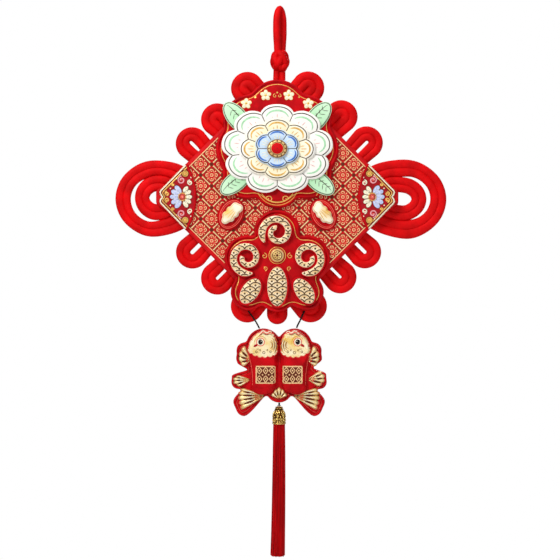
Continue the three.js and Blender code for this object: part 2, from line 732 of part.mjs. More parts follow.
function stringTube({ route }) {
  const curve = new THREE.CatmullRomCurve3(route.map(([x, y, z]) => new THREE.Vector3(x, y, z)));
  const steps = route.length * 2;
  const stations = Array.from({ length: steps + 1 }, (_, i) => {
    const p = curve.getPointAt(i / steps);
    return { x: p.x, y: p.y, z: p.z, wide: STRING_RADIUS, thick: STRING_RADIUS };
  });
  return sweep(stations, roundSection(6));
}
STRINGS.forEach((row) => add(hung, row.name, stringTube(row), darkString));

// Tassel: a bell cap over a bound head with its strands
const CAP_PROFILE = [
  [0, 0],
  [1.6, 0],
  [2.4, -1.6],
  [2, -2.8],
  [4.6, -4.2],
  [6.8, -8],
  [7.4, -13],
  [7.2, -19.5],
  [6.6, -19.5],
  [6.8, -13],
  [6.2, -8.6],
  [4, -6],
  [0, -6],
];

function cap() {
  const profile = CAP_PROFILE.map(([r, z]) => new THREE.Vector2(r, TASSEL_TOP + z));
  const lathe = new THREE.LatheGeometry(profile, 16).rotateX(Math.PI / 2);
  ["normal", "uv"].forEach((name) => lathe.deleteAttribute(name));
  return outward(mergeVertices(lathe, 1e-4));
}
add(hung, "tassel_cap", cap(), goldMetal);

const TASSEL_HEAD = { top: TASSEL_TOP - 8.8, bottom: TASSEL_TOP - 18.5, topRadius: 5, radius: 5.6 };
const STRAND = { rings: 3, spread: 4.9, radius: 0.78, flare: 0.56, sag: -1.6 };

function tassel() {
  const ring = (z, r) => roundSection(16).map(([c, s]) => new THREE.Vector3(r * c, r * s, z));
  const head = loft([ring(TASSEL_HEAD.top, TASSEL_HEAD.topRadius), ring(TASSEL_HEAD.bottom, TASSEL_HEAD.radius)]);
  const rootTop = TASSEL_HEAD.bottom + 2;
  const levels = [0, 0.06, 0.3, 0.65, 1];
  const strand = (x, y, end) =>
    loft(
      levels.map((level) => {
        const spread = 1 + STRAND.flare * (0.35 * Math.min(1, level * 8) + 0.65 * level ** 2);
        const thick = STRAND.radius * (1 + 0.35 * level);
        const bend = STRAND.sag * level ** 2;
        return roundSection(3).map(
          ([c, s]) =>
            new THREE.Vector3(x * spread + bend + c * thick, y * spread + s * thick, rootTop + (end - rootTop) * level),
        );
      }),
    );
  const strands = [strand(0, 0, TASSEL_END)];
  for (let r = 1; r <= STRAND.rings; r++) {
    const radius = (STRAND.spread * r) / STRAND.rings;
    for (let i = 0; i < 6 * r; i++) {
      const a = (2 * Math.PI * (i + 0.5 * (r % 2))) / (6 * r);
      const shorter = ((i * 7 + r * 5) % 6) * 0.7;
      strands.push(strand(radius * Math.cos(a), radius * Math.sin(a), TASSEL_END + shorter));
    }
  }
  return fused([head, ...strands]);
}
add(hung, "tassel", tassel(), floss);

export default object;
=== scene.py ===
"""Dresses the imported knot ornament: velvet cords, printed padded cloth, a metal cap and a floss tassel.
Lengths are in millimetres until a mesh is made. The row frame is the CAD's: +Z up, the viewer at -Y."""

import math
import random

import bpy
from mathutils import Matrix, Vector, noise
from mathutils.bvhtree import BVHTree


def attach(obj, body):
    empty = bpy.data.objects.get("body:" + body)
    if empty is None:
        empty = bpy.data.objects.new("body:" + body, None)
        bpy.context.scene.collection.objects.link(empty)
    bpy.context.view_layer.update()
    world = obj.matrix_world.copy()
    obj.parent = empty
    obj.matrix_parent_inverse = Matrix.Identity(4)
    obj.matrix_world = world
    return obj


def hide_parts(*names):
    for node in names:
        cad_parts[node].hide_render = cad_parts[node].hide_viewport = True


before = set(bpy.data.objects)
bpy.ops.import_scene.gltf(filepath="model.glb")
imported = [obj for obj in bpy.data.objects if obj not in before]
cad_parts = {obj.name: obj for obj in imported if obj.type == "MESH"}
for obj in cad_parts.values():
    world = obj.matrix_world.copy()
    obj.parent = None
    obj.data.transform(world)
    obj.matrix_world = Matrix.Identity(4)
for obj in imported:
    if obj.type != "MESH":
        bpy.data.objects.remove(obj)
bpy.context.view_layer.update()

MM = 0.001
TAU = 2 * math.pi
SIDES = (("left", -1), ("right", 1))
AWAY = Vector((0, 1, 0))  # from the viewer into the object
GAP = 0.3  # left between pieces that lie on each other
CORD = 8.0
KNOT = (-2.9, -203.5)  # x and z of the panel's middle
FISH = (-0.9, -392.7)  # and of the pendant's
HUNG_X = -0.9  # what hangs below the stem hangs a little to the left of the hook
PANEL_THICK = 7.0
PANEL_BACK = -CORD / 2 - GAP
PANEL_FRONT = PANEL_BACK - PANEL_THICK
HALF_DIAGONAL = 135.3
HALF_SIDE = HALF_DIAGONAL / math.sqrt(2)
SHIELD_BACK = PANEL_FRONT - GAP
SHIELD_THICK = 5.0
SHIELD_FRONT = SHIELD_BACK - SHIELD_THICK
FISH_BACK_THICK = 6.0
FISH_FRONT = -FISH_BACK_THICK / 2 - GAP


# Colours and materials. A source is a function that adds its nodes to a tree and returns their output.


def linear(r, g, b):
    """An sRGB colour, 0 to 255, as Blender's linear colour."""
    parts = []
    for c in (r / 255, g / 255, b / 255):
        parts.append(c / 12.92 if c <= 0.04045 else ((c + 0.055) / 1.055) ** 2.4)
    return (*parts, 1.0)


def add_node(tree, kind, **inputs):
    """A shader node with its inputs set, or linked where the value is another node's output."""
    made = tree.nodes.new(f"ShaderNode{kind}")
    for name, value in inputs.items():
        socket = made.inputs[name.replace("_", " ")]
        if isinstance(value, bpy.types.NodeSocket):
            tree.links.new(value, socket)
        else:
            socket.default_value = value
    return made


def row_place(tree, **mapping):
    """The point in the row frame, turned or scaled."""
    place = add_node(tree, "TexCoord").outputs["Object"]
    return add_node(tree, "Mapping", Vector=place, **mapping).outputs["Vector"] if mapping else place


def clumps(scale, detail=3.0, **mapping):
    """A source of noise, in clumps per metre."""

    def source(tree):
        place = row_place(tree, **mapping)
        return add_node(tree, "TexNoise", Vector=place, Scale=scale, Detail=detail).outputs["Fac"]

    return source


def fine_ribs(direction, pitch, turn):
    """A source of even ribs, like a cloth's threads, with a pitch in ribs per metre."""

    def source(tree):
        made = add_node(tree, "TexWave", Vector=row_place(tree, Rotation=(0, turn, 0)), Scale=pitch)
        made.bands_direction = direction
        return made.outputs["Fac"]

    return source


def distance_from(middle, reach):
    """A source that rises from 0 at a middle point to 1 at its reach."""

    def source(tree):
        away = add_node(tree, "VectorMath", Vector=row_place(tree))
        away.operation = "DISTANCE"
        away.inputs[1].default_value = [c * MM for c in middle]
        return add_node(tree, "MapRange", Value=away.outputs["Value"], From_Max=reach * MM).outputs["Result"]

    return source


def new_material(name, color=None, stops=(), bumps=(), strength=0.2, depth=0.0003, **sockets):
    """The color source picks a shade between the stops. Each source in bumps adds its own relief."""
    material = bpy.data.materials.new(name)
    material.use_nodes = True
    tree = material.node_tree
    shader = tree.nodes["Principled BSDF"]
    for socket, value in sockets.items():
        shader.inputs[socket.replace("_", " ")].default_value = value
    if color:
        made = add_node(tree, "ValToRGB", Fac=color(tree))
        elements = made.color_ramp.elements
        while len(elements) < len(stops):
            elements.new(0.5)
        for element, (place, shade) in zip(elements, stops):
            element.position = place
            element.color = shade
        tree.links.new(made.outputs["Color"], shader.inputs["Base Color"])
    normal = None
    for bump in bumps:
        made = add_node(tree, "Bump", Strength=strength, Distance=depth, Height=bump(tree))
        if normal:
            tree.links.new(normal, made.inputs["Normal"])
        normal = made.outputs["Normal"]
        tree.links.new(normal, shader.inputs["Normal"])
    return material


def velvet(name, deep, bright):
    """Short pile that is brushed lighter and darker in patches."""
    return new_material(
        name, clumps(75, 4), [(0.3, deep), (0.72, bright)], [clumps(420), clumps(2600, 2)], depth=0.0004,
        Roughness=0.6, Sheen_Weight=0.12, Sheen_Roughness=0.3, Sheen_Tint=(1.0, 0.03, 0.04, 1.0),
        Specular_IOR_Level=0.1,
    )


def cloth(name, deep, bright, roughness, metallic=0.0, turn=0.0):
    """Woven cloth with a soft change of shade over its surface."""
    pitch = 420
    return new_material(
        name, clumps(90), [(0.3, deep), (0.7, bright)],
        [fine_ribs("X", pitch, turn), fine_ribs("Z", pitch, turn)], 0.25,
        0.00012, Roughness=roughness, Metallic=metallic, Specular_IOR_Level=0.18,
    )


def plush(name, rim, heart, middle, reach, warm=None):
    """Short plush, shaded from its rim to its heart by the distance from a middle point."""
    stops = [(0.0, heart), (0.62, warm or rim), (1.0, rim)]
    return new_material(
        name, distance_from(middle, reach), stops, [clumps(1500)], 0.25, 0.0004,
        Roughness=0.8, Sheen_Weight=0.12, Sheen_Roughness=0.5, Specular_IOR_Level=0.15,
    )


def floss(name):
    """Fine threads that run downwards, with darker ones among them."""
    stops = [(0.3, linear(112, 0, 2)), (0.52, linear(176, 0, 4)), (0.75, linear(214, 2, 8))]
    return new_material(
        name, clumps(900, 2, Scale=(1, 1, 0.02)), stops, [clumps(2600, 2, Scale=(1, 1, 0.03))], 0.3,
        Roughness=0.45, Sheen_Weight=0.05, Sheen_Tint=(1.0, 0.02, 0.02, 1.0), Specular_IOR_Level=0.1,
    )


def metal(name, deep, bright, roughness):
    """Gold-coloured metal, darker where it is tarnished."""
    stops = [(0.3, deep), (0.6, bright)]
    return new_material(name, clumps(420), stops, [clumps(900)], 0.12, Metallic=1.0, Roughness=roughness)


def thread(name, color, roughness=0.55, metallic=0.0):
    """A stitched or printed line, with the fine ribs of its threads."""
    light = tuple(min(1.0, c * 1.18) for c in color[:3]) + (1.0,)
    dark = tuple(c * 0.78 for c in color[:3]) + (1.0,)
    return new_material(
        name, clumps(700, 2), [(0.3, dark), (0.7, light)], [clumps(3000, 2)], depth=0.0002,
        Roughness=roughness, Metallic=metallic, Specular_IOR_Level=0.2,
    )


DIAGONAL = math.radians(45)
RED_VELVET = velvet("red_velvet", linear(190, 0, 2), linear(230, 2, 8))
# Painted shade: the knot's core is the same cord as the petals, in a darker copy of their velvet where it
# lies behind the panel.
SHADED_CORE_VELVET = velvet("core_velvet_painted_shade", linear(140, 0, 4), linear(190, 2, 10))
PAD_VELVET = velvet("pad_velvet", linear(160, 0, 8), linear(212, 4, 18))
PANEL_CLOTH = cloth("panel_cloth", linear(186, 2, 10), linear(212, 4, 16), 0.62, turn=DIAGONAL)
PATCH_CLOTH = cloth("patch_cloth", linear(150, 4, 18), linear(176, 8, 24), 0.62, turn=DIAGONAL)
CREAM_CLOTH = cloth("cream_foil_cloth", linear(240, 214, 168), linear(254, 236, 204), 0.45, 0.1)
GOLD_CLOTH = cloth("gold_foil_cloth", linear(222, 180, 104), linear(246, 220, 158), 0.36, 0.35)
HEAD_CLOTH = cloth("fish_head_cloth", linear(238, 200, 104), linear(255, 244, 208), 0.4, 0.15)
PRINT_GOLD = thread("gold_print", linear(248, 196, 142), 0.42, 0.15)
RICH_GOLD = thread("gold_stitch", linear(236, 186, 96), 0.36, 0.35)
# Painted shade: amber lines on the fish heads darken the gold round the gills, over the eyes and towards the
# inner side, where the padded heads turn from the light.
AMBER = thread("amber_painted_shade", linear(222, 160, 62), 0.42, 0.3)
AMBER_STITCH = thread("amber_stitch", linear(226, 168, 66))
BROWN = thread("brown_print", linear(96, 34, 14))
WAVE_BROWN = thread("wave_print", linear(92, 60, 22))
DARK = thread("dark_print", linear(58, 44, 26))
CORAL = thread("coral_print", linear(232, 92, 78))
PINK = thread("pink_print", linear(232, 158, 164))
PALE_PINK = thread("pale_pink_stitch", linear(236, 176, 170))
PALE_GREEN = thread("pale_green_stitch", linear(170, 222, 176))
SKY = thread("sky_print", linear(190, 200, 240))
DEEP_BLUE = thread("deep_blue_stitch", linear(70, 120, 200))
CREAM = thread("cream_print", linear(250, 236, 206))
STRING = thread("dark_string", linear(26, 8, 8))
SEAM = thread("seam_thread", linear(112, 2, 10))
GOLD_METAL = metal("gold_metal", linear(196, 150, 66), linear(246, 216, 130), 0.22)
# Painted shade and dark reflection: this darker metal on the cap's bell, collar and ring stands in for the
# shade under the open work and a dark reflection on the metal.
SHADED_METAL = metal("gold_metal_painted_shade_and_reflection", linear(44, 20, 8), linear(120, 74, 26), 0.38)
FLOSS = floss("red_floss")


# Meshes


def make(name, verts, faces, material, slot, replaces=(), fill=None):
    """A piece from millimetre points. It rides on the one body. fill is not used."""
    mesh = bpy.data.meshes.new(name)
    mesh.from_pydata([(x * MM, y * MM, z * MM) for x, y, z in verts], [], faces)
    mesh.validate()
    mesh.materials.append(material)
    mesh.polygons.foreach_set("use_smooth", [True] * len(mesh.polygons))
    piece = bpy.data.objects.new(name, mesh)
    bpy.context.scene.collection.objects.link(piece)
    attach(piece, "root")
    if replaces:
        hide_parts(*replaces)
    return piece


def grid_faces(rows, columns, start=0, wrap=True):
    faces = []
    for r in range(rows - 1):
        for c in range(columns if wrap else columns - 1):
            a = start + r * columns + c
            b = start + r * columns + (c + 1) % columns
            faces.append((a, b, b + columns, a + columns))
    return faces


def fan_faces(first, count, hub, order=1):
    """Triangles from a ring of points to their hub. order -1 turns them round."""
    return [(first + k, first + (k + 1) % count)[::order] + (hub,) for k in range(count)]


def rounded(value, power):
    return math.copysign(abs(value) ** power, value)


def tube(path, radii, sides=12, flat=True, caps=True, square=1.0):
    """Rings round a path. radii holds one (side, depth) pair or one for each point.
    A flat path keeps its depth along Y. Any other carries its frame along.
    square below 1 fills the corners."""
    path = [Vector(p) for p in path]
    if not isinstance(radii, list):
        radii = [radii] * len(path)
    verts = []
    depth = AWAY
    for i, point in enumerate(path):
        along = (path[min(i + 1, len(path) - 1)] - path[max(i - 1, 0)]).normalized()
        if flat:
            depth = AWAY
        side = along.cross(depth).normalized()
        depth = side.cross(along).normalized()
        across, deep = radii[i]
        for k in range(sides):
            a = TAU * k / sides
            c, s = rounded(math.cos(a), square), rounded(math.sin(a), square)
            verts.append(point + side * (across * c) + depth * (deep * s))
    faces = grid_faces(len(path), sides)
    if caps:
        for first, hub, order in ((0, path[0], -1), ((len(path) - 1) * sides, path[-1], 1)):
            faces += fan_faces(first, sides, len(verts), order)
            verts.append(hub)
    return verts, faces


def wire(path, thick, sides=6, closed=False):
    """A round tube along a path in space. A closed one is without caps."""
    return tube(path, (thick, thick), sides, flat=False, caps=not closed)


def joined(parts):
    """Several (verts, faces) as one."""
    verts, faces = [], []
    for more, their_faces in parts:
        start = len(verts)
        verts.extend(more)
        faces.extend(tuple(i + start for i in face) for face in their_faces)
    return verts, faces


def smooth_curve(points, steps):
    """The centripetal Catmull-Rom curve through the points, at equal lengths along it."""
    points = [Vector(p) for p in points]
    ends = [points[0] * 2 - points[1], *points, points[-1] * 2 - points[-2]]
    dense = []
    per_span = 16
    for p0, p1, p2, p3 in zip(ends, ends[1:], ends[2:], ends[3:]):
        d0, d1, d2 = (max((b - a).length ** 0.5, 1e-6) for a, b in ((p0, p1), (p1, p2), (p2, p3)))
        t1 = ((p1 - p0) / d0 - (p2 - p0) / (d0 + d1) + (p2 - p1) / d1) * d1
        t2 = ((p2 - p1) / d1 - (p3 - p1) / (d1 + d2) + (p3 - p2) / d2) * d1
        for k in range(per_span):
            t = k / per_span
            a = 2 * p1 - 2 * p2 + t1 + t2
            b = -3 * p1 + 3 * p2 - 2 * t1 - t2
            dense.append(a * t**3 + b * t**2 + t1 * t + p1)
    dense.append(points[-1])
    return resampled(dense, steps)


def resampled(points, steps):
    """The polyline cut into steps of equal length."""
    lengths = [0.0]
    for a, b in zip(points, points[1:]):
        lengths.append(lengths[-1] + (b - a).length)
    made, at = [], 0
    for i in range(steps + 1):
        want = lengths[-1] * i / steps
        while at < len(points) - 2 and lengths[at + 1] < want:
            at += 1
        span = lengths[at + 1] - lengths[at]
        share = (want - lengths[at]) / span if span else 0
        made.append(points[at].lerp(points[at + 1], min(max(share, 0), 1)))
    return made


def knotted(x, z, y=0):
    """A point of the knot's own plane in the row frame."""
    return (x + KNOT[0], y, z + KNOT[1])


# Outlines of pads and lines, as (x, z) lists about a middle point


def around(middle, turn, across, up=None):
    """The point in a direction from a middle. across and up are its distances along X and Z."""
    return middle[0] + across * math.cos(turn), middle[1] + (across if up is None else up) * math.sin(turn)


def turned(points, middle, turn):
    c, s = math.cos(turn), math.sin(turn)
    return [(middle[0] + x * c - z * s, middle[1] + x * s + z * c) for x, z in points]


def turns(count):
    """Angles once round, the last one on the first."""
    return [TAU * i / (count - 1) for i in range(count)]


def mirrored(rows):
    """The rows with a twin on the left of each one that is off the middle line."""
    made = []
    for row in rows:
        made.append(row)
        if row[0]:
            made.append((-row[0], *row[1:]))
    return made


def scallops(lobes, count, middle=(0, 0), soften=2):
    """The outer edge of overlapping circles, each (x, z, radius)."""
    radii = []
    for i in range(count):
        a = TAU * i / count
        reach = 0
        for x, z, r in lobes:
            x, z = x - middle[0], z - middle[1]
            along = x * math.cos(a) + z * math.sin(a)
            under = r * r - (x * x + z * z - along * along)
            if under >= 0:
                reach = max(reach, along + math.sqrt(under))
        radii.append(reach)
    for _ in range(soften):
        radii = [(radii[i - 1] + 2 * r + radii[(i + 1) % count]) / 4 for i, r in enumerate(radii)]
    return [around(middle, TAU * i / count, r) for i, r in enumerate(radii)]


def ellipse(middle, wide, high, tilt=0.0, count=48):
    angles = [TAU * i / count for i in range(count)]
    flat = [(wide / 2 * math.cos(a), high / 2 * math.sin(a)) for a in angles]
    return turned(flat, middle, tilt)


def circle(middle, radius, count=48):
    return ellipse(middle, 2 * radius, 2 * radius, count=count)


def arc(middle, radius, start, end, count=14, squash=1.0, tilt=0.0):
    """Part of a circle, from one direction to another in degrees."""
    flat = []
    for i in range(count + 1):
        a = math.radians(start + (end - start) * i / count)
        flat.append((radius * math.cos(a), radius * squash * math.sin(a)))
    return turned(flat, middle, tilt)


def curl(middle, start, hand, radius, rounds=1.15, inner=0.25, count=22):
    """A spiral from its outer end to its eye."""
    made = []
    for i in range(count + 1):
        share = i / count
        a = math.radians(start) + hand * TAU * rounds * share
        made.append(around(middle, a, radius * (1 - (1 - inner) * share)))
    return made


def drawn_in(outline, distance):
    """The outline moved inwards by a distance."""
    made = []
    for i, (x, z) in enumerate(outline):
        bx, bz = outline[i - 1]
        ax, az = outline[(i + 1) % len(outline)]
        along = Vector((ax - bx, az - bz))
        if along.length:
            along.normalize()
        made.append((x - along.y * distance, z + along.x * distance))
    return made


def drawn_to(outline, middle, share):
    """The outline shrunk towards a middle."""
    return [(middle[0] + (x - middle[0]) * share, middle[1] + (z - middle[1]) * share) for x, z in outline]


def centre_of(outline):
    return (sum(p[0] for p in outline) / len(outline), sum(p[1] for p in outline) / len(outline))


def dense_outline(corners, step=2.0):
    """Straight-sided outline with points every step or so."""
    made = []
    for a, b in zip(corners, corners[1:] + corners[:1]):
        a, b = Vector(a), Vector(b)
        count = max(1, round((b - a).length / step))
        made.extend(tuple(a.lerp(b, k / count)) for k in range(count))
    return made


def softened(outline, rounds):
    """The outline with its corners eased by averaging neighbours."""
    n = len(outline)
    for _ in range(rounds):
        trios = [(outline[i - 1], outline[i], outline[(i + 1) % n]) for i in range(n)]
        outline = [tuple((a + 2 * b + c) / 4 for a, b, c in zip(*trio)) for trio in trios]
    return outline


# Pads. Their rises go from the rim to the heart: (distance in from the edge, share of the thickness), then
# (share of the way left to the middle, share of the thickness).

PIPED = (
    [
        (1.4, 0.0), (0.3, 0.1), (0.0, 0.4), (0.25, 0.72), (1.1, 0.97), (2.2, 0.97), (3.1, 0.74), (3.5, 0.62),
        (4.1, 0.74),
    ],
    [(0.94, 0.9), (0.8, 0.98), (0.5, 1.0), (0.25, 1.0)],
)
SEAMED = ([(4.5, 0.0), (4.0, 0.01), (3.5, 0.1), (3.1, 0.1), (2.4, 0.01), *PIPED[0]], PIPED[1])
CUSHION = (
    [(0.5, 0.0), (0.0, 0.16), (0.15, 0.4), (0.7, 0.64), (1.6, 0.8)],
    [(0.86, 0.9), (0.66, 0.97), (0.4, 1.0), (0.2, 1.0)],
)
DOME = (
    [(0.3, 0.0), (0.0, 0.14), (0.1, 0.32), (0.5, 0.52)],
    [(0.86, 0.72), (0.7, 0.87), (0.5, 0.96), (0.25, 1.0)],
)
BOARD = (
    [(1.0, 0.0), (0.0, 0.14), (0.0, 0.5), (0.35, 0.78), (1.3, 0.95), (2.6, 0.99)],
    [(0.9, 1.0), (0.7, 1.0), (0.4, 1.0), (0.2, 1.0)],
)
PLATE = (
    [(0.5, 0.0), (0.0, 0.2), (0.1, 0.62), (0.7, 0.95), (1.5, 1.0)],
    [(0.8, 1.0), (0.5, 1.0), (0.25, 1.0)],
)
LUMPS_PER_MM = 0.11
STITCH_POINTS = 4  # points of the outline to a stitch


def pad_mesh(outline, middle, back, thick, rises, origin, lumps=0.18, pucker=0.0):
    """A stuffed pad on a flat back. pucker draws its rim in at even steps, as stitches do."""
    rims, shares = rises
    rings = [(drawn_in(outline, distance), rise) for distance, rise in rims]
    heart = rings[-1][0]
    rings += [(drawn_to(heart, middle, share), rise) for share, rise in shares]
    verts = []
    for ring, rise in rings:
        for k, (x, z) in enumerate(ring):
            lump = noise.noise(Vector((x * LUMPS_PER_MM, z * LUMPS_PER_MM, back))) * lumps * rise
            stitch = pucker * math.cos(TAU * k / STITCH_POINTS) * (1 - rise) * rise * 4
            verts.append((x + origin[0], back - thick * rise + lump + stitch, z + origin[1]))
    n = len(outline)
    faces = grid_faces(len(rings), n)
    hub = len(verts)
    for y in (back, back - thick):
        verts.append((middle[0] + origin[0], y, middle[1] + origin[1]))
    last = (len(rings) - 1) * n
    for back_face, front_face in zip(fan_faces(0, n, hub, -1), fan_faces(last, n, hub + 1)):
        faces += [back_face, front_face]
    return verts, faces


def pad(name, outline, middle, back, thick, rises, origin, material, slot, fill=0.8, **more):
    """A padded piece in place of the node of that name."""
    verts, faces = pad_mesh(outline, middle, back, thick, rises, origin, **more)
    return make(f"{name}_pad", verts, faces, material, slot, (name,), fill)


def knot_pad(name, outline, middle, back, thick, rises, material, slot, fill=0.8, **more):
    return pad(name, outline, middle, back, thick, rises, KNOT, material, slot, fill, **more)


FINE_HEART = [0.95, 0.89, 0.82, 0.75, 0.68, 0.6, 0.52, 0.44, 0.36, 0.28, 0.2, 0.12]
SIM_SCALE = 20.0  # cloth this thin is simulated larger than life
SIM_FRAMES = 20
MOST_MOVE = 1.2
STRAYED = 1.0  # metres: a point that the solver lost
CLOTH_SETTINGS = {
    "quality": 6,
    "mass": 0.2,
    "tension_stiffness": 15,
    "compression_stiffness": 15,
    "shear_stiffness": 5,
    "bending_stiffness": 0.3,
    "use_pressure": True,
    "uniform_pressure_force": 4,
    "shrink_min": -0.025,
    "vertex_group_mass": "held",
}


def slack(rises, heart):
    """The same rim with a lower heart in finer rings, ready to be stuffed."""
    return rises[0], [(share, heart) for share in FINE_HEART]


def stuffing_copy(piece, held):
    """An enlarged copy of a pad as cloth. Its first points and its back's middle are held."""
    mesh = piece.data.copy()
    for v in mesh.vertices:
        v.co = v.co * SIM_SCALE
    copy = bpy.data.objects.new(piece.name + "_stuffing", mesh)
    bpy.context.scene.collection.objects.link(copy)
    group = copy.vertex_groups.new(name="held")
    group.add(list(range(held)) + [len(mesh.vertices) - 2], 1.0, "REPLACE")
    settings = copy.modifiers.new("stuffing", "CLOTH").settings
    for name, value in CLOTH_SETTINGS.items():
        setattr(settings, name, value)
    settings.effector_weights.gravity = 0
    return copy


def stuffed(rows):
    """Blows pads up as cloth. rows holds (piece, how many of its first points are held, front y)."""
    scene = bpy.context.scene
    copies = [stuffing_copy(piece, held) for piece, held, _front in rows]
    for number in range(1, SIM_FRAMES + 1):
        scene.frame_set(number)
    graph = bpy.context.evaluated_depsgraph_get()
    for (piece, held, front), copy in zip(rows, copies):
        shaped = copy.evaluated_get(graph).data
        for i, (own, blown) in enumerate(zip(piece.data.vertices, shaped.vertices)):
            move = blown.co / SIM_SCALE - own.co
            if i < held or move.length > STRAYED:
                continue
            if move.length > MOST_MOVE * MM:
                move = move.normalized() * (MOST_MOVE * MM)
            own.co = own.co + move
            own.co.y = max(own.co.y, front * MM)
        mesh = copy.data
        bpy.data.objects.remove(copy)
        bpy.data.meshes.remove(mesh)
    scene.frame_set(1)


# Printed and stitched lines, laid on the pieces below them

EDGE_LIFT = 0.1
STEEPEST = 0.25  # a surface that faces the viewer less than this takes no lines
CAST_FROM = -0.2  # metres, well in front of the object


def tree_of(pieces):
    verts, faces = [], []
    for piece in pieces:
        start = len(verts)
        verts.extend(v.co.copy() for v in piece.data.vertices)
        faces.extend([i + start for i in p.vertices] for p in piece.data.polygons)
    return BVHTree.FromPolygons(verts, faces)


class Lines:
    """Thin raised lines and patches, dropped along +Y on to the surfaces that show."""

    def __init__(self, surfaces, origin, covers=()):
        self.tree = tree_of(surfaces)
        self.covers = tree_of(covers) if covers else None
        self.origin = origin
        self.verts = []
        self.faces = []

    def drop(self, x, z, lift):
        """The point of the surface behind (x, z), lifted off it. None where it is covered or missing."""
        start = Vector(((x + self.origin[0]) * MM, CAST_FROM, (z + self.origin[1]) * MM))
        if self.covers and self.covers.ray_cast(start, AWAY)[0]:
            return None
        hit = self.tree.ray_cast(start, AWAY)
        if not hit[0] or abs(hit[1].y) < STEEPEST:
            return None
        return (hit[0].x / MM, hit[0].y / MM - lift, hit[0].z / MM)

    def line(self, points, wide, lift=0.28, closed=False, step=1.3, taper=False):
        """A ribbon with a raised middle. It breaks off where the surface does."""
        points = [Vector(p) for p in points]
        if closed:
            points.append(points[0])
        total = sum((b - a).length for a, b in zip(points, points[1:]))
        path = resampled(points, max(2, round(total / step)))
        last = None
        for i, p in enumerate(path):
            before = path[i - 1] if i else (path[-2] if closed else p)
            after = path[i + 1] if i < len(path) - 1 else (path[1] if closed else p)
            along = (after - before).normalized()
            half = wide / 2
            if taper:
                half *= 0.25 + 0.75 * max(0.0, math.sin(math.pi * i / (len(path) - 1))) ** 0.6
            side = Vector((-along.y, along.x)) * half
            row = [self.drop(*(p + side), EDGE_LIFT), self.drop(*p, lift), self.drop(*(p - side), EDGE_LIFT)]
            if None in row:
                last = None
                continue
            start = len(self.verts)
            self.verts.extend(row)
            if last is not None:
                self.faces.append((last, start, start + 1, last + 1))
                self.faces.append((last + 1, start + 1, start + 2, last + 2))
            last = start

    def loop(self, points, wide, **more):
        self.line(points, wide, closed=True, **more)

    def patch(self, outline, lift=0.25, rings=2):
        """A filled, slightly domed patch with a star-shaped outline."""
        middle = centre_of(outline)
        hub = self.drop(*middle, lift)
        if hub is None:
            return
        rows = []
        for r in range(rings, 0, -1):
            share = r / rings
            rise = EDGE_LIFT if r == rings else lift * (1 - share**2 * 0.5)
            row = [self.drop(x, z, rise) for x, z in drawn_to(outline, middle, share)]
            if None in row:
                return
            rows.append(row)
        start, n = len(self.verts), len(outline)
        for row in rows:
            self.verts.extend(row)
        self.verts.append(hub)
        self.faces.extend(grid_faces(rings, n, start))
        self.faces.extend(fan_faces(start + (rings - 1) * n, n, len(self.verts) - 1))

    def dot(self, middle, radius, lift=0.25, count=8):
        self.patch(circle(middle, radius, count), lift, 1)

    def build(self, name, material, slot):
        return make(name, self.verts, self.faces, material, slot)


class Inks(dict):
    """Lines of several kinds on the same pieces. kinds holds each one's piece name and material."""

    def __init__(self, kinds, surfaces, origin, covers=()):
        super().__init__((kind, Lines(surfaces, origin, covers)) for kind in kinds)
        self.kinds = kinds

    def build(self, slot):
        for kind, (name, material) in self.kinds.items():
            self[kind].build(name, material, slot)


# Camera, light and floor

PIXEL = 1.0909  # millimetres to a pixel of the photograph
LENS = 100.0
SENSOR = 36.0
VIEW_WIDE = 560 * PIXEL
VIEW_CENTRE = (0.1, (11 - 280) * PIXEL)
LAMPS = [  # name, place, size, power
    ("key", (-0.8, -1.05, 0.62), 0.45, 16.5),
    ("fill", (0.75, -1.5, -0.35), 0.9, 5.5),
    ("top", (0.1, -0.35, 0.8), 0.6, 4),
    ("back", (0.2, 1.2, 0.3), 0.9, 13),
]
LAMPS_AIM = Vector((0, 0, -0.25))
WHITE = (1, 1, 1, 1)
FLOOR_Z, FLOOR_LEFT, FLOOR_RIGHT, FLOOR_NEAR, FLOOR_FAR = -0.66, -0.7, 0.7, -0.9, 0.22


def link_new(name, data):
    made = bpy.data.objects.new(name, data)
    bpy.context.scene.collection.objects.link(made)
    return made


def set_camera():
    scene = bpy.context.scene
    scene.view_settings.view_transform = "Standard"
    data = bpy.data.cameras.new("camera")
    data.lens = LENS
    data.sensor_width = SENSOR
    data.clip_start = 0.05
    camera = link_new("camera", data)
    away = VIEW_WIDE * LENS / SENSOR
    camera.location = (VIEW_CENTRE[0] * MM, -away * MM, VIEW_CENTRE[1] * MM)
    camera.rotation_euler = (math.radians(90), 0, 0)
    scene.camera = camera


def set_light():
    """A white world, which lights the object less than it shows behind it, and four soft lamps."""
    world = bpy.data.worlds.new("studio")
    world.use_nodes = True
    tree = world.node_tree
    dim = tree.nodes["Background"]
    dim.inputs["Color"].default_value = WHITE
    dim.inputs["Strength"].default_value = 0.27
    bright = add_node(tree, "Background", Color=WHITE, Strength=1.0)
    mix = add_node(tree, "MixShader", Fac=add_node(tree, "LightPath").outputs["Is Camera Ray"])
    tree.links.new(dim.outputs["Background"], mix.inputs[1])
    tree.links.new(bright.outputs["Background"], mix.inputs[2])
    tree.links.new(mix.outputs["Shader"], tree.nodes["World Output"].inputs["Surface"])
    bpy.context.scene.world = world
    for name, place, size, power in LAMPS:
        lamp = bpy.data.lights.new(name, "AREA")
        lamp.size = size
        lamp.energy = power
        holder = link_new(name, lamp)
        holder.location = place
        holder.rotation_euler = (LAMPS_AIM - Vector(place)).to_track_quat("-Z", "Y").to_euler()


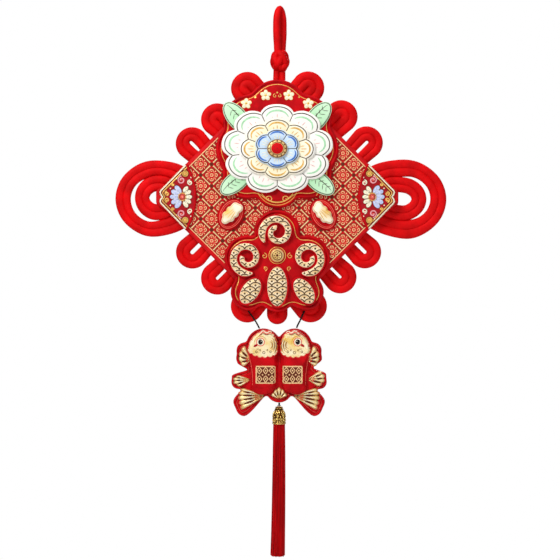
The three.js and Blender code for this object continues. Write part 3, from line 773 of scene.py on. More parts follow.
def set_floor():
    corners = [
        (FLOOR_LEFT, FLOOR_NEAR, FLOOR_Z), (FLOOR_RIGHT, FLOOR_NEAR, FLOOR_Z),
        (FLOOR_RIGHT, FLOOR_FAR, FLOOR_Z),
        (FLOOR_LEFT, FLOOR_FAR, FLOOR_Z),
    ]
    mesh = bpy.data.meshes.new("floor")
    mesh.from_pydata(corners, [], [(0, 1, 2, 3)])
    mesh.materials.append(new_material("floor", Base_Color=(0.86, 0.86, 0.86, 1), Roughness=0.9))
    link_new("floor", mesh)


# Velvet cords. Two lie side by side in each pair: their middles and half widths, as shares of its width.

PAIR_PLACES = (0.725, 0.275)
PAIR_HALF = 0.275
PAIR_SQUARE = 0.78
EDGES = {"upper_left": (-1, 1), "upper_right": (1, 1), "lower_left": (-1, -1), "lower_right": (1, -1)}


def on_edge(edge, along, out):
    """A point beside one edge of the diamond, along it towards its top or bottom corner and out from it."""
    side, up = EDGES[edge]
    x = side * (HALF_SIDE - along + out) / math.sqrt(2)
    z = up * (HALF_SIDE + along + out) / math.sqrt(2)
    return x, z


def cord_piece(node, parts):
    make(node, *joined(parts), RED_VELVET, "velvet", (node.rsplit("_", 1)[0],))


PETAL_RADIUS = 18.0
LEG_IN = 14.0
PETAL_TAPER = 0.16
SHUT_SLIT = 0.5
SLIT_TIPS = {("upper_left", -24): 1.6, ("upper_right", -26.5): 0.6}
PETALS = [  # edge, along, out, slit, whether its legs close
    ("upper_left", -24, 11.6, 3.2, True),
    ("upper_left", 13.9, 10.5, -0.5, False),
    ("upper_left", 61.3, 11.6, -0.5, False),
    ("upper_right", -26.5, 15.4, 3.2, False),
    ("upper_right", 13.1, 16.1, -0.5, False),
    ("upper_right", 61, 12.6, -0.5, False),
    ("lower_left", -23.3, 11.9, 4.2, False),
    ("lower_left", 16.1, 12.7, 3, False),
    ("lower_left", 60.6, 11.2, 1.6, False),
    ("lower_right", -25.5, 13.8, 3.6, False),
    ("lower_right", 12.8, 14.1, 2.8, False),
    ("lower_right", 58, 13.6, 1.6, False),
]


def petal_cord(edge, along, out, slit, shut, place):
    """One of a petal's two cords. place is how far across the pair it lies."""
    path, radii = [], []
    leg_steps, turn_steps = 7, 22

    def station(sign, at, angle):
        share = min(max((out - at) / (out + LEG_IN), 0), 1)
        half = PETAL_RADIUS * (1 - PETAL_TAPER * share)
        closing = min(1, max(0, share - 0.25) / 0.4) if shut else 0
        slit_here = slit + (SHUT_SLIT - slit) * closing
        slit_here += SLIT_TIPS.get((edge, along), 0) * 2 * math.sin(angle) ** 2
        wide = half - slit_here / 2
        centre = slit_here / 2 + wide * place
        x, z = on_edge(edge, along + sign * centre * math.cos(angle), at + centre * math.sin(angle))
        path.append(knotted(x, z))
        radii.append((wide * PAIR_HALF, CORD / 2))

    for i in range(leg_steps):
        station(-1, -LEG_IN + (out + LEG_IN) * i / leg_steps, 0)
    for i in range(turn_steps + 1):
        station(-1, out, math.pi * i / turn_steps)
    for i in range(leg_steps):
        station(1, out - (out + LEG_IN) * (i + 1) / leg_steps, 0)
    return tube(path, radii, 16, square=PAIR_SQUARE)


def make_petals():
    for i, row in enumerate(PETALS):
        cord_piece(f"petal_{row[0]}_{i % 3 + 1}_cords", [petal_cord(*row, place) for place in PAIR_PLACES])


# Side loops, outer and inner: side, middle x and z, reach, height, width of the pair, where its legs cross
# the panel's edge, and how far they run in behind it.
SIDE_LOOPS = {
    "left": [(-1, 130.1, -1.2, 38.6, 34.3, 15.7, -56, 14), (-1, 130.1, -0.2, 17.3, 16.8, 15.8, -75, 9)],
    "right": [(1, 134.9, -1.9, 41.5, 35.7, 16.2, -56.4, 14), (1, 134.9, -1.7, 19.7, 15.8, 16.4, -76.2, 8)],
}
CRESCENTS = {"left": (55, -95, 4.7), "right": (87, -67, 4.2)}  # the gap's ends in degrees, and its width
EYE_FILL = {"left": 1.9, "right": 0.6}  # how much the inner pair swells at its flanks
CRESCENT_TOUCH = -0.3
LOOP_STEPS = 90
LOOP_TURNS = (80, 55, 28, 0, -28, -55, -80)


def loop_middle(word, side, x, z, reach, high, wide, along, leg_in):
    """The middle line of a pair of cords, with its outward directions."""
    points = [on_edge(f"upper_{word}", along, -leg_in), on_edge(f"upper_{word}", along, 0)]
    for turn in LOOP_TURNS:
        a = math.radians(turn)
        points.append((side * (x + reach * math.cos(a)), z + high * math.sin(a)))
    points += [on_edge(f"lower_{word}", along, 0), on_edge(f"lower_{word}", along, -leg_in)]
    middle = smooth_curve([knotted(*p) for p in points], LOOP_STEPS)
    outwards = []
    for i in range(LOOP_STEPS + 1):
        way = middle[min(i + 1, LOOP_STEPS)] - middle[max(i - 1, 0)]
        outwards.append(way.cross(AWAY).normalized() * side)
    return middle, outwards


def crescent_spread(word, rows, outer, inner):
    """How much wider the outer pair grows at each point, to leave only a crescent outside the inner pair."""
    side, x, z, _reach, _high, wide = rows[0][:6]
    top, bottom, gap = CRESCENTS[word]
    rim = [p + out * rows[1][5] / 2 for p, out in zip(*inner)]
    spread = []
    for p, out in zip(*outer):
        edge = p - out * wide / 2
        turn = math.degrees(math.atan2(p.z - KNOT[1] - z, side * (p.x - KNOT[0]) - x))
        share = (turn - bottom) / (top - bottom)
        left = gap * math.sin(math.pi * share) ** 0.8 if 0 < share < 1 else CRESCENT_TOUCH
        spread.append(min((edge - r).length for r in rim) - left)
    for _ in range(3):
        spread = [
            (spread[max(i - 1, 0)] + w + spread[min(i + 1, LOOP_STEPS)]) / 3 for i, w in enumerate(spread)
        ]
    return spread


def make_side_loops():
    for word, rows in SIDE_LOOPS.items():
        outer, inner = (loop_middle(word, *row) for row in rows)
        eye = [EYE_FILL[word] * abs(out.z) for out in inner[1]]
        spreads = [crescent_spread(word, rows, outer, inner), eye]
        for kind, row, (middle, outwards), spread in zip(("outer", "inner"), rows, (outer, inner), spreads):
            wide = row[5]
            radii = [((wide + more) * PAIR_HALF, CORD / 2) for more in spread]
            parts = []
            for place in PAIR_PLACES:
                path = [
                    p + out * ((place - 0.5) * (wide + more) - more / 2)
                    for p, out, more in zip(middle, outwards, spread)
                ]
                parts.append(tube(path, radii, 16, square=PAIR_SQUARE))
            cord_piece(f"side_loop_{word}_{kind}_cords", parts)


def make_bottom_loop():
    radius, centre, leg_top, cord_half = 5.5, -127, -120.4, 5.8
    points = [(-radius, leg_top), *arc((0, centre), radius, 180, 360, 20), (radius, leg_top)]
    path = [knotted(*p) for p in points]
    cord_piece("bottom_loop_cord", [tube(path, (cord_half, CORD / 2), 18, square=0.9)])


LOOP_HALF = [(0, 2.8), (3.1, 0.2), (4.7, -5), (5.5, -14), (5.4, -26), (4.4, -37), (3.6, -47)]
LOOP_TURN = math.radians(50)
LOOP_RADIUS = 3.95
BUTTON_TOP, BUTTON_BOTTOM, BUTTON_RADIUS = -42.5, -66.8, 11.3
BUTTON_CORD = 3.9
BUTTON_CORE = (7.4, 9.5)  # half width and half height of the ball inside
STEM_BOTTOM = -84.6
STEM_IN_BUTTON = 6


def hanging_cord():
    """The loop itself, turned about the hook's axis and pinched where it bends."""
    ends = [(-x, z) for x, z in LOOP_HALF[:0:-1]] + LOOP_HALF
    path, radii = [], []
    for p in smooth_curve([(x, 0, z) for x, z in ends], 70):
        path.append((p.x * math.cos(LOOP_TURN), p.x * math.sin(LOOP_TURN), p.z))
        pinch = min(max((p.z + 8) / 10, 0), 1)
        radius = LOOP_RADIUS * (1 - 0.2 * pinch)
        radii.append((radius, radius))
    return tube(path, radii, 14, flat=False)


def button_cord(middle):
    """One cord laid round a barrel in three leads and four bights."""
    leads, bights, steps = 3, 4, 216
    tall = (BUTTON_TOP - BUTTON_BOTTOM) / 2 - BUTTON_CORD
    reach = BUTTON_RADIUS - BUTTON_CORD - 1.3
    path = []
    for i in range(steps + 1):
        t = TAU * i / steps
        round_off = math.sqrt(max(0.0, 1 - 0.5 * math.sin(bights * t) ** 2))
        r = reach * round_off + 0.9 * math.cos(2 * bights * t + 0.6)
        path.append((r * math.cos(leads * t), r * math.sin(leads * t), middle + tall * math.sin(bights * t)))
    return wire(path, BUTTON_CORD, 12, closed=True)


def ball(middle, wide, high, rows, columns):
    """A ball of half width wide and half height high, from its top down."""
    verts = []
    for i in range(rows):
        a = math.pi * i / (rows - 1)
        r = wide * math.sin(a)
        for k in range(columns):
            b = TAU * k / columns
            x, y = middle[0] + r * math.cos(b), middle[1] + r * math.sin(b)
            verts.append((x, y, middle[2] + high * math.cos(a)))
    return verts, grid_faces(rows, columns)


def stem_cord(sign):
    path = []
    for i in range(13):
        share = i / 12
        narrow = 1 - 0.16 * (1 - share) - 0.08 * share**3
        x = -0.4 - 0.5 * share + sign * 3.55 * narrow
        top = BUTTON_BOTTOM + STEM_IN_BUTTON
        path.append((x, 0, top + (STEM_BOTTOM - top) * share))
    return tube(path, (3.5, 3.9), 12)


def make_hanging_loop():
    middle = (BUTTON_TOP + BUTTON_BOTTOM) / 2
    button = [button_cord(middle), ball((0, 0, middle), *BUTTON_CORE, 13, 20)]
    cord_piece("hanging_loop_cord", [hanging_cord(), *button, stem_cord(-1), stem_cord(1)])


CORE_HALF = 88.0
CORE_CELLS = 11
CORE_CELL = 2 * CORE_HALF / CORE_CELLS
CORE_WIDE = CORE_CELL / 4
CORE_MIDDLE = CORD / 2 + GAP + 6.0
CORE_BOW = 2.9


def core_strand(way, row):
    """A doubled strand, bent back on itself at the rim, over and under the ones that it crosses."""
    centre = -CORE_HALF + CORE_CELL * (row + 0.5)
    inner = CORE_HALF - CORE_WIDE * 1.9
    steps, bend_steps = CORE_CELLS * 6, 6
    loop = []
    for leg in (1, -1):
        for i in range(steps + 1):
            along = leg * (-inner + 2 * inner * i / steps)
            loop.append((along, centre - leg * CORE_WIDE, along))
        for i in range(1, bend_steps):
            a = -math.pi / 2 + math.pi * i / bend_steps
            along = leg * (inner + CORE_WIDE * math.cos(a))
            loop.append((along, centre + leg * CORE_WIDE * math.sin(a), leg * inner))
    path = []
    for along, across, phase_at in loop:
        phase = (phase_at + CORE_HALF) / CORE_CELL * math.pi
        over = math.sin(phase) * (1 if (row + way) % 2 else -1)
        a, b = (along, across) if way else (across, along)
        depth = CORE_MIDDLE + rounded(over, 0.7) * CORE_BOW
        path.append(knotted((a - b) / math.sqrt(2), (a + b) / math.sqrt(2), depth))
    return tube(path + path[:2], (CORE_WIDE, 3.0), 8, caps=False)


def make_core():
    parts = [core_strand(way, row) for way in (0, 1) for row in range(CORE_CELLS)]
    inside = dense_outline([(0, -112), (112, 0), (0, 112), (-112, 0)], 30)
    flat = ([(0, 0), (0, 1)], [])
    parts.append(pad_mesh(inside, (0, 0), CORE_MIDDLE + 0.8, 1.6, flat, KNOT, lumps=0))
    make("knot_core_weave", *joined(parts), SHADED_CORE_VELVET, "dark_velvet", ("knot_core",))


# Panel and its print

LATTICE = 11.85  # half the distance between crossings, along X and along Z
LATTICE_OUT = 12
PRINT_HALF_SIDE = HALF_SIDE - 5.0
PRINT_REACH = 123  # the print ends this far to either side


def make_panel():
    tip, blunt, shoulder, top, bottom = 131.6, 7.6, 121, 123, -117
    right = [
        (HALF_DIAGONAL + bottom, bottom),
        (HALF_DIAGONAL / 2, -HALF_DIAGONAL / 2),
        (shoulder, shoulder - HALF_DIAGONAL),
        (tip, -blunt),
        (tip, blunt),
        (shoulder, HALF_DIAGONAL - shoulder),
        (HALF_DIAGONAL / 2, HALF_DIAGONAL / 2),
        (HALF_DIAGONAL - top, top),
    ]
    outline = softened(dense_outline(right + [(-x, z) for x, z in reversed(right)], 1.4), 4)
    return knot_pad(
        "panel", outline, (0, 0), PANEL_BACK, PANEL_THICK, BOARD, PANEL_CLOTH, "printed_panel", 0.5
    )


def printed(x, z, margin=0.0):
    """Whether a point lies in the printed field, a margin in from its edge."""
    return abs(x) + abs(z) < (PRINT_HALF_SIDE - margin) * math.sqrt(2) and abs(x) < PRINT_REACH


def print_panel(panel, covers):
    kinds = {
        "gold": ("panel_print_gold", PRINT_GOLD), "brown": ("panel_print_brown", BROWN),
        "coral": ("panel_print_coral", CORAL),
    }
    ink = Inks(kinds, [panel], KNOT, covers)
    for inset, kind, wide in ((0.0, "gold", 0.9), (1.6, "brown", 0.5)):
        reach = PRINT_HALF_SIDE * math.sqrt(2) - inset
        for side in (-1, 1):
            for up in (-1, 1):
                ink[kind].line([(side * PRINT_REACH, up * (reach - PRINT_REACH)), (0, up * reach)], wide)
    for m in range(-LATTICE_OUT, LATTICE_OUT + 1):
        for n in range(-LATTICE_OUT, LATTICE_OUT + 1):
            x, z = m * LATTICE, n * LATTICE
            if (m + n) % 2:
                if printed(x, z, 2):
                    print_crossing(x, z, ink["brown"])
            elif printed(x, z, -6):
                print_cell(x, z, ink)
    ink.build("printed_panel")


def print_crossing(x, z, brown):
    """A dark star where the bars meet."""
    for up in (-1, 1):
        brown.line([(x - 1.7, z - 1.7 * up), (x + 1.7, z + 1.7 * up)], 1.2, step=1.2, lift=0.2)
    for a, b in ((2.3, 0), (0, 2.3)):
        brown.line([(x - a, z - b), (x + a, z + b)], 0.7, step=1.2, lift=0.2)


def print_cell(x, z, ink):
    """One diamond: bars with round ends, a dark rounded frame, four curls and a coral heart."""
    gold, brown, coral = ink["gold"], ink["brown"], ink["coral"]
    bar_end, bar_side, hook, leaf = 2.2, 1.05, 4.3, 2.5
    for turn in range(4):
        a = turn * math.pi / 2
        c, s = math.cos(a), math.sin(a)

        def place(px, pz, c=c, s=s):
            return (x + px * c - pz * s, z + px * s + pz * c)

        bar = [place(LATTICE - bar_end, bar_end), place(bar_end, LATTICE - bar_end)]
        if all(printed(*p) for p in bar) and (turn < 2 or not printed(*place(LATTICE, LATTICE), 2)):
            gold.line(bar, 1.25, lift=0.34)
            for end in bar:
                gold.dot(end, 0.95, 0.4)
            for shift in (-bar_side, bar_side):
                beside = [(px + shift * (c - s) * 0.7, pz + shift * (s + c) * 0.7) for px, pz in bar]
                brown.line(beside, 0.6, step=2)
        if printed(*place(hook + 0.6, 0), 1):
            start = math.degrees(a)
            gold.line(arc(place(hook, 0), 2.0, start - 120, start + 120, 9), 0.95, step=1.0, taper=True)
            gold.dot(place(hook - 0.3, 0), 0.7, 0.34, 6)
            brown.line(arc(place(hook, 0), 3.0, start - 75, start + 75, 7), 0.5, step=1.4, lift=0.2)
        if printed(*place(leaf, leaf), 1):
            coral.dot(place(leaf, leaf), 0.85, 0.25, 6)
            gold.line([place(3.3, 3.3), place(4.6, 4.6)], 0.8, step=1.0, lift=0.3)
    if printed(x, z, 3):
        gold.loop(arc((x, z), 1.7, 0, 360, 9)[:-1], 0.75, step=1.1)
        coral.dot((x, z), 1.0, 0.3)


# Corner patches: a gold double edge round a lotus with curls and two round knots, all of their own design

PATCH_TIP, PATCH_END, PATCH_END_Z, PATCH_BULGE = 127.6, 98.6, 36.4, 10.5
PATCH_THICK = 2.6
LOTUS_X = 103.0
# Inset, width and ink.
PATCH_RIMS = [(1.15, 1.7, "cream"), (2.7, 0.7, "brown"), (3.9, 1.0, "gold"), (5.1, 0.5, "brown")]
PATCH_CURLS = [  # x, z, radius, ink
    (119.2, 3.4, 2.7, "gold"), (112.8, 13.2, 2.0, "gold"), (103.6, 18.2, 4.4, "pink"),
    (94.4, 15.4, 3.0, "cream"),
]
PATCH_GRAINS = ((108.8, 19.8), (105.4, 23.8), (93.4, 21.0), (115.6, 9.2))
PATCH_KNOT = (99.6, 25.2)


def patch_inner_x(z):
    return PATCH_END - PATCH_BULGE * (1 - (z / PATCH_END_Z) ** 2)


def patch_outline(side):
    tip = [(PATCH_TIP + 0.6, 3.4), (PATCH_TIP + 0.4, 6.6), (PATCH_END, PATCH_END_Z)]
    points = [(PATCH_TIP - 2.4, 0), *tip]
    count = 12
    for i in range(1, count):
        z = PATCH_END_Z * (1 - 2 * i / count)
        points.append((patch_inner_x(z), z))
    points += [(x, -z) for x, z in reversed(tip)]
    outline = softened([(side * x, z) for x, z in dense_outline(points, 1.1)], 2)
    return outline if side > 0 else outline[::-1]


def make_patch(word, side):
    middle = (side * (PATCH_END + 5), 0)
    piece = knot_pad(
        f"corner_patch_{word}", patch_outline(side), middle, SHIELD_BACK, PATCH_THICK, PLATE, PATCH_CLOTH,
        "printed_patch", 0.4,
    )
    hem, hem_half = [], 20
    for i in range(2 * hem_half + 1):
        z = (PATCH_END_Z - 1) * (1 - i / hem_half)
        hem.append(knotted(side * (patch_inner_x(z) + 0.7), z, SHIELD_BACK - 1.6))
    make(f"corner_patch_hem_{word}", *tube(hem, (1.3, 1.5), 10), PAD_VELVET, "velvet")
    return piece


def patch_rims(place, ink):
    for inset, wide, kind in PATCH_RIMS:
        rim = []
        for up in (-1, 1):
            half = [
                (PATCH_TIP - 2.2 - inset, 0),
                (PATCH_TIP + 0.2 - inset, up * (3.6 - inset * 0.1)),
                (PATCH_TIP + 0.2 - inset, up * (6.6 - inset * 0.4)),
                (PATCH_END + 1.0 - inset * 0.5, up * (PATCH_END_Z - inset * 0.95 - 0.8)),
            ]
            rim += half if up > 0 else half[:0:-1]
        ink[kind].line([place(*p) for p in rim], wide)


def patch_lotus(side, place, ink):
    """Five sky petals towards the tip, five cream ones behind them, and a coral heart."""

    def spot(turn, across, up, x=LOTUS_X):
        return place(*around((x, 0), turn, across, up))

    for turn in (-58, -29, 0, 29, 58):
        a = math.radians(turn)
        middle, tilt = spot(a, 8.0, 9.0), a if side > 0 else math.pi - a
        ink["sky"].patch(ellipse(middle, 10.6, 6.2, tilt, 16), 0.5)
        ink["lines"].loop(ellipse(middle, 11.0, 6.6, tilt, 20), 0.6, lift=0.5)
        for b in (a - 0.16, a + 0.16):
            ink["cream"].line([spot(b, 5, 5.6), spot(b, 11, 12)], 0.8, lift=0.62, taper=True)
    for turn in (122, 151, 180, -151, -122):
        a = math.radians(turn)
        middle, tilt = spot(a, 6.6, 9.4, LOTUS_X - 0.4), a if side > 0 else math.pi - a
        ink["cream"].patch(ellipse(middle, 8.0, 5.0, tilt, 14), 0.45)
        ink["lines"].loop(ellipse(middle, 8.4, 5.4, tilt, 18), 0.55, lift=0.5)
        ink["coral"].dot(spot(a, 7.4, 10.4, LOTUS_X - 0.4), 0.9, 0.62)
    heart = place(LOTUS_X - 0.2, 0)
    ink["coral"].patch(circle(heart, 3.7, 18), 0.7)
    ink["gold"].loop(circle(heart, 4.2, 24), 1.0, lift=0.8)
    ink["lines"].loop(circle(heart, 2.5, 18), 0.6, lift=0.9)
    ink["cream"].dot(heart, 1.3, 1.0)


def patch_curls(side, up, place, ink):
    hand = -up * side
    for x, z, r, kind in PATCH_CURLS:
        middle = place(x, up * z)
        ink["lines"].line(curl(middle, 90 * up, hand, r + 0.6, 1.15, 0.3), 0.6, lift=0.3)
        ink[kind].line(curl(middle, 90 * up, hand, r, 1.3, 0.26), 1.45, lift=0.45)
        ink["coral"].dot(middle, r * 0.22, 0.4)
    knot = place(PATCH_KNOT[0], up * PATCH_KNOT[1])
    ink["gold"].patch(circle(knot, 3.9, 18), 0.5)
    for radius in (3.7, 2.3):
        ink["lines"].loop(circle(knot, radius, 20), 0.55, lift=0.65)
    ink["coral"].dot(knot, 1.3, 0.7)
    for x, z in PATCH_GRAINS:
        ink["cream"].dot(place(x, up * z), 0.8, 0.4, 6)


def print_patch(word, side, patch):
    colors = {
        "brown": BROWN, "gold": RICH_GOLD, "cream": CREAM, "sky": SKY, "pink": PINK, "coral": CORAL,
        "lines": BROWN,
    }
    kinds = {kind: (f"patch_print_{kind}_{word}", material) for kind, material in colors.items()}
    ink = Inks(kinds, [patch], KNOT)

    def place(x, z):
        return (side * x, z)

    patch_rims(place, ink)
    patch_lotus(side, place, ink)
    for up in (-1, 1):
        patch_curls(side, up, place, ink)
    ink.build("printed_patch")


# Plaque: shield, leaves, flower and the arc of blossoms

FLOWER = (0, 51)
SHIELD_LOBES = mirrored([(0, 94, 33), (29.7, 81.7, 29), (36, 52, 30), (33, 24, 26), (0, 14, 26)])
SHIELD_POINTS = 240
LEAF_THICK = 2.0
LEAVES = [("leaf_upper", 43, 85, 42, 22, 50), ("leaf_lower", 45, 16, 40, 21, -38)]  # x, z, wide, high, tilt
TIERS = [
    ("flower_outer", 9, 121, 97, 0.13), ("flower_middle", 8, 82, 66, 0.12), ("flower_inner", 6, 50, 42, 0.12),
]
TIER_THICK = 2.6
TIER_RINGS = [  # share of the reach, share of the thickness
    (0.97, 0.0), (1.0, 0.16), (1.0, 0.5), (0.985, 0.72), (0.95, 0.86), (0.9, 0.96), (0.83, 1.0), (0.74, 1.0),
    (0.64, 0.97), (0.53, 0.92), (0.42, 0.86), (0.3, 0.82), (0.16, 0.8),
]
TIER_BELLY = [(0.25, -0.78), (0.52, -0.78), (0.6, 0.0)]  # the outer tier's underside, down to the shield
BELLY_DEPTH = 1.9
BOSS_THICK = 4.0


def tier_place(petals, wide, high, dent, a, share):
    """A point of a tier, at an angle from its top and a share of its scalloped reach."""
    r = share * (1 - dent * (1 - abs(math.cos(petals * a / 2))) ** 1.6)
    return around(FLOWER, a + math.pi / 2, wide / 2 * r, high / 2 * r)


def make_tier(name, petals, wide, high, dent, back, material, slot):
    """A ring of puffed petals, each with a crease on either side."""
    count = petals * 14
    outer = name == "flower_outer"
    rings = TIER_BELLY + TIER_RINGS if outer else TIER_RINGS
    verts = []
    for share, rise in rings:
        for i in range(count):
            a = TAU * i / count
            crease = abs(math.sin(petals * a / 2 + math.pi / 2)) ** 0.45
            puff = 0.68 + 0.32 * crease if share > 0.2 else 1
            depth = back - TIER_THICK * 1.06 * rise * puff
            verts.append(knotted(*tier_place(petals, wide, high, dent, a, share), depth))
    faces = grid_faces(len(rings), count)
    belly = BELLY_DEPTH if outer else 0
    for first, y, order in ((0, back + belly, -1), ((len(rings) - 1) * count, back - TIER_THICK * 0.8, 1)):
        faces += fan_faces(first, count, len(verts), order)
        verts.append(knotted(*FLOWER, y))
    return make(f"{name}_petals", verts, faces, material, slot, (name,), 0.7)


def tier_lines(shape, inner_share, ink):
    """Dark edges on each petal with a coloured line inside, and veins from its root."""
    petals = shape[0]
    half = math.pi / petals
    rim_steps, tint_steps = 9, 7
    for k in range(petals):
        centre = TAU * k / petals
        rim = [i / rim_steps - 1 for i in range(2 * rim_steps + 1)]
        edge = [tier_place(*shape, centre + half * t * 0.97, 0.945 - 0.02 * abs(t)) for t in rim]
        ink["outline"].line(edge, 1.0, step=1.0, lift=0.4)
        crease = [tier_place(*shape, centre - half, s) for s in (0.93, 0.85, 0.75, inner_share)]
        ink["outline"].line(crease, 0.8, step=1.5)
        tint = [i / tint_steps - 1 for i in range(2 * tint_steps + 1)]
        inside = [tier_place(*shape, centre + half * t * 0.78, 0.86 - 0.06 * t**2) for t in tint]
        ink["shading"].line(inside, 2.0, taper=True)
        for turn in (-0.34, 0, 0.34):
            ends = (inner_share, 0.78 - 0.15 * abs(turn))
            vein = [tier_place(*shape, centre + half * turn, s) for s in ends]
            ink["veins"].line(vein, 0.8, step=1.2, taper=True)


def make_plaque():
    outline = scallops(SHIELD_LOBES, SHIELD_POINTS, FLOWER, 6)
    made = {}
    made["shield"] = knot_pad(
        "shield", outline, FLOWER, SHIELD_BACK, SHIELD_THICK, slack(PIPED, 0.82), PAD_VELVET, "velvet",
        pucker=0.12,
    )
    centre = knotted(*FLOWER, SHIELD_FRONT - 6)
    pale = linear(252, 240, 206)
    white = plush("white_plush", linear(246, 243, 236), linear(255, 240, 200), centre, 60)
    warm_white = plush("warm_white_plush", linear(250, 248, 244), linear(250, 216, 150), centre, 41, pale)
    blue = plush("blue_plush", linear(206, 226, 246), linear(120, 172, 226), centre, 25)
    mint = linear(206, 240, 204)
    green = plush("green_plush", mint, mint, centre, 70, linear(172, 226, 176))
    back = SHIELD_FRONT - GAP
    for word, side in SIDES:
        for name, x, z, wide, high, tilt in LEAVES:
            leaf = ellipse((side * x, z), wide, high, side * math.radians(tilt), 56)
            made[f"{name}_{word}"] = knot_pad(
                f"{name}_{word}", leaf, (side * x, z), back, LEAF_THICK, CUSHION, green, "green_plush", 0.6
            )
    back = SHIELD_FRONT - 2 * GAP - LEAF_THICK
    for (name, *shape), material in zip(TIERS, (white, warm_white, blue)):
        slot = "blue_plush" if material is blue else "white_plush"
        made[name] = make_tier(name, *shape, back, material, slot)
        back -= TIER_THICK + GAP
    boss = ellipse(FLOWER, 22, 20)
    made["boss"] = knot_pad(
        "flower_boss", boss, FLOWER, back, BOSS_THICK, DOME, GOLD_CLOTH, "gold_cloth", 0.9
    )
    return made


TIER_INKS = [(0.68, PALE_GREEN, PALE_PINK), (0.62, RICH_GOLD, AMBER_STITCH), (0.45, DEEP_BLUE, CREAM)]


def dress_tiers(made):
    """TIER_INKS holds where each tier's lines begin, and the colours of its shading and its veins."""
    tiers = [made[name] for name, *_ in TIERS]
    for level, ((name, *shape), (inner, tint, vein)) in enumerate(zip(TIERS, TIER_INKS)):
        kinds = {
            "outline": (f"{name}_outline", DARK), "shading": (f"{name}_shading", tint),
            "veins": (f"{name}_veins", vein),
        }
        ink = Inks(kinds, [made[name]], KNOT, tiers[level + 1 :] + [made["boss"]])
        tier_lines(shape, inner, ink)
        ink.build("white_plush")


def dress_boss(boss):
    stamens, heart = Lines([boss], KNOT), Lines([boss], KNOT)
    heart.patch(ellipse(FLOWER, 13, 12, count=20), 0.6)
    for radius in (7.4, 10.2):
        stamens.loop(ellipse(FLOWER, 2 * radius, 1.84 * radius, count=30), 0.7, lift=0.4)
    for k in range(12):
        a = TAU * k / 12
        stamens.dot(around(FLOWER, a, 8.9, 8.1), 0.8, 0.5)
        if k % 2:
            stamens.dot(around(FLOWER, a, 3.6, 3.3), 0.75, 1.0)
    stamens.dot(FLOWER, 1.1, 1.1)
    heart.build("boss_heart", PAD_VELVET, "velvet")
    stamens.build("boss_stamens", BROWN, "gold_cloth")


def dress_leaves(made, covers):
    """An outline, a bent midrib and five pairs of side veins on each leaf."""
    dark = Lines([made[f"{name}_{word}"] for name, *_ in LEAVES for word, _ in SIDES], KNOT, covers)
    for _word, side in SIDES:
        for _name, x, z, wide, high, tilt in LEAVES:
            middle, turn = (side * x, z), side * math.radians(tilt)
            dark.loop(ellipse(middle, wide - 2.6, high - 2.6, turn, 40), 0.8, step=1.1)
            dark.line(arc(middle, wide * 0.42, 0, 180, 12, 0.14, turn), 0.8, taper=True)
            for share in (-0.6, -0.3, 0, 0.3, 0.6):
                root = around(middle, turn, wide * 0.4 * share)
                for fork in (-0.9, 0.9):
                    dark.line([root, around(root, turn + fork, 5.5)], 0.6, taper=True)
    dark.build("leaf_outlines", DARK, "green_plush")


def dress_blossom(middle, gold, cream):
    for k in range(5):
        a = TAU * k / 5 + 0.3
        petal = ellipse(around(middle, a, 3.4), 5.2, 4.4, a, 12)
        cream.patch(petal, 0.6)
        gold.loop(petal, 0.5)
    gold.dot(middle, 1.5, 0.9)


def dress_shield(shield, covers):
    """A gold rim, four blossoms and curls over the flower, and double arcs below it."""
    gold, cream = Lines([shield], KNOT, covers), Lines([shield], KNOT, covers)
    gold.loop(drawn_in(scallops(SHIELD_LOBES, 160, FLOWER, 4), 5.4), 0.7)
    for turn in (124, 102, 78, 56):
        dress_blossom(around(FLOWER, math.radians(turn), 60), gold, cream)
    for turn in (113, 90, 67):
        middle = around(FLOWER, math.radians(turn), 60.5, 61.5)
        gold.dot(middle, 1.0)
        for side in (-1, 1) if turn == 90 else ():
            gold.line(curl((middle[0] + side * 2.4, middle[1] - 3.4), 90, -side, 2.2, 0.9, 0.4, 12), 0.7)
    for turn, hand in ((40, 1), (140, -1)):
        gold.line(curl(around(FLOWER, math.radians(turn), 57, 55), turn, hand, 3.6), 0.8)
    for radius in (23.0, 19.8):
        gold.line(arc((0, 14), radius, 205, 335, 30), 0.9)
    for side in (-1, 1):
        gold.line(curl((side * 8.5, -2.5), 90 - 90 * side, side, 3.8), 0.9)
        gold.line(curl((side * 46, 0.5), 90, side, 4.2), 0.8)
    gold.build("shield_gold_lines", RICH_GOLD, "gold_cloth")
    cream.build("shield_blossoms", CREAM, "cream_plush")


def dress_plaque(made):
    outer_tier = [made[TIERS[0][0]]]
    dress_tiers(made)
    dress_boss(made["boss"])
    dress_leaves(made, outer_tier)
    dress_shield(made["shield"], outer_tier)


# Buds

BUD = (50, -19, 27, 36, -28)  # x, z, wide, high, tilt
BUD_THICK = 4.0
BUD_LOBES = [
    (0.2, -10.2, 4.2), (-2.6, -5.4, 4.4), (2.8, -4.4, 4.2), (-2.9, 1.4, 4.4), (3.0, 2.2, 4.3),
    (-1.8, 8.0, 4.6), (2.2, 9.4, 4.6), (0, 0, 5.2),
]


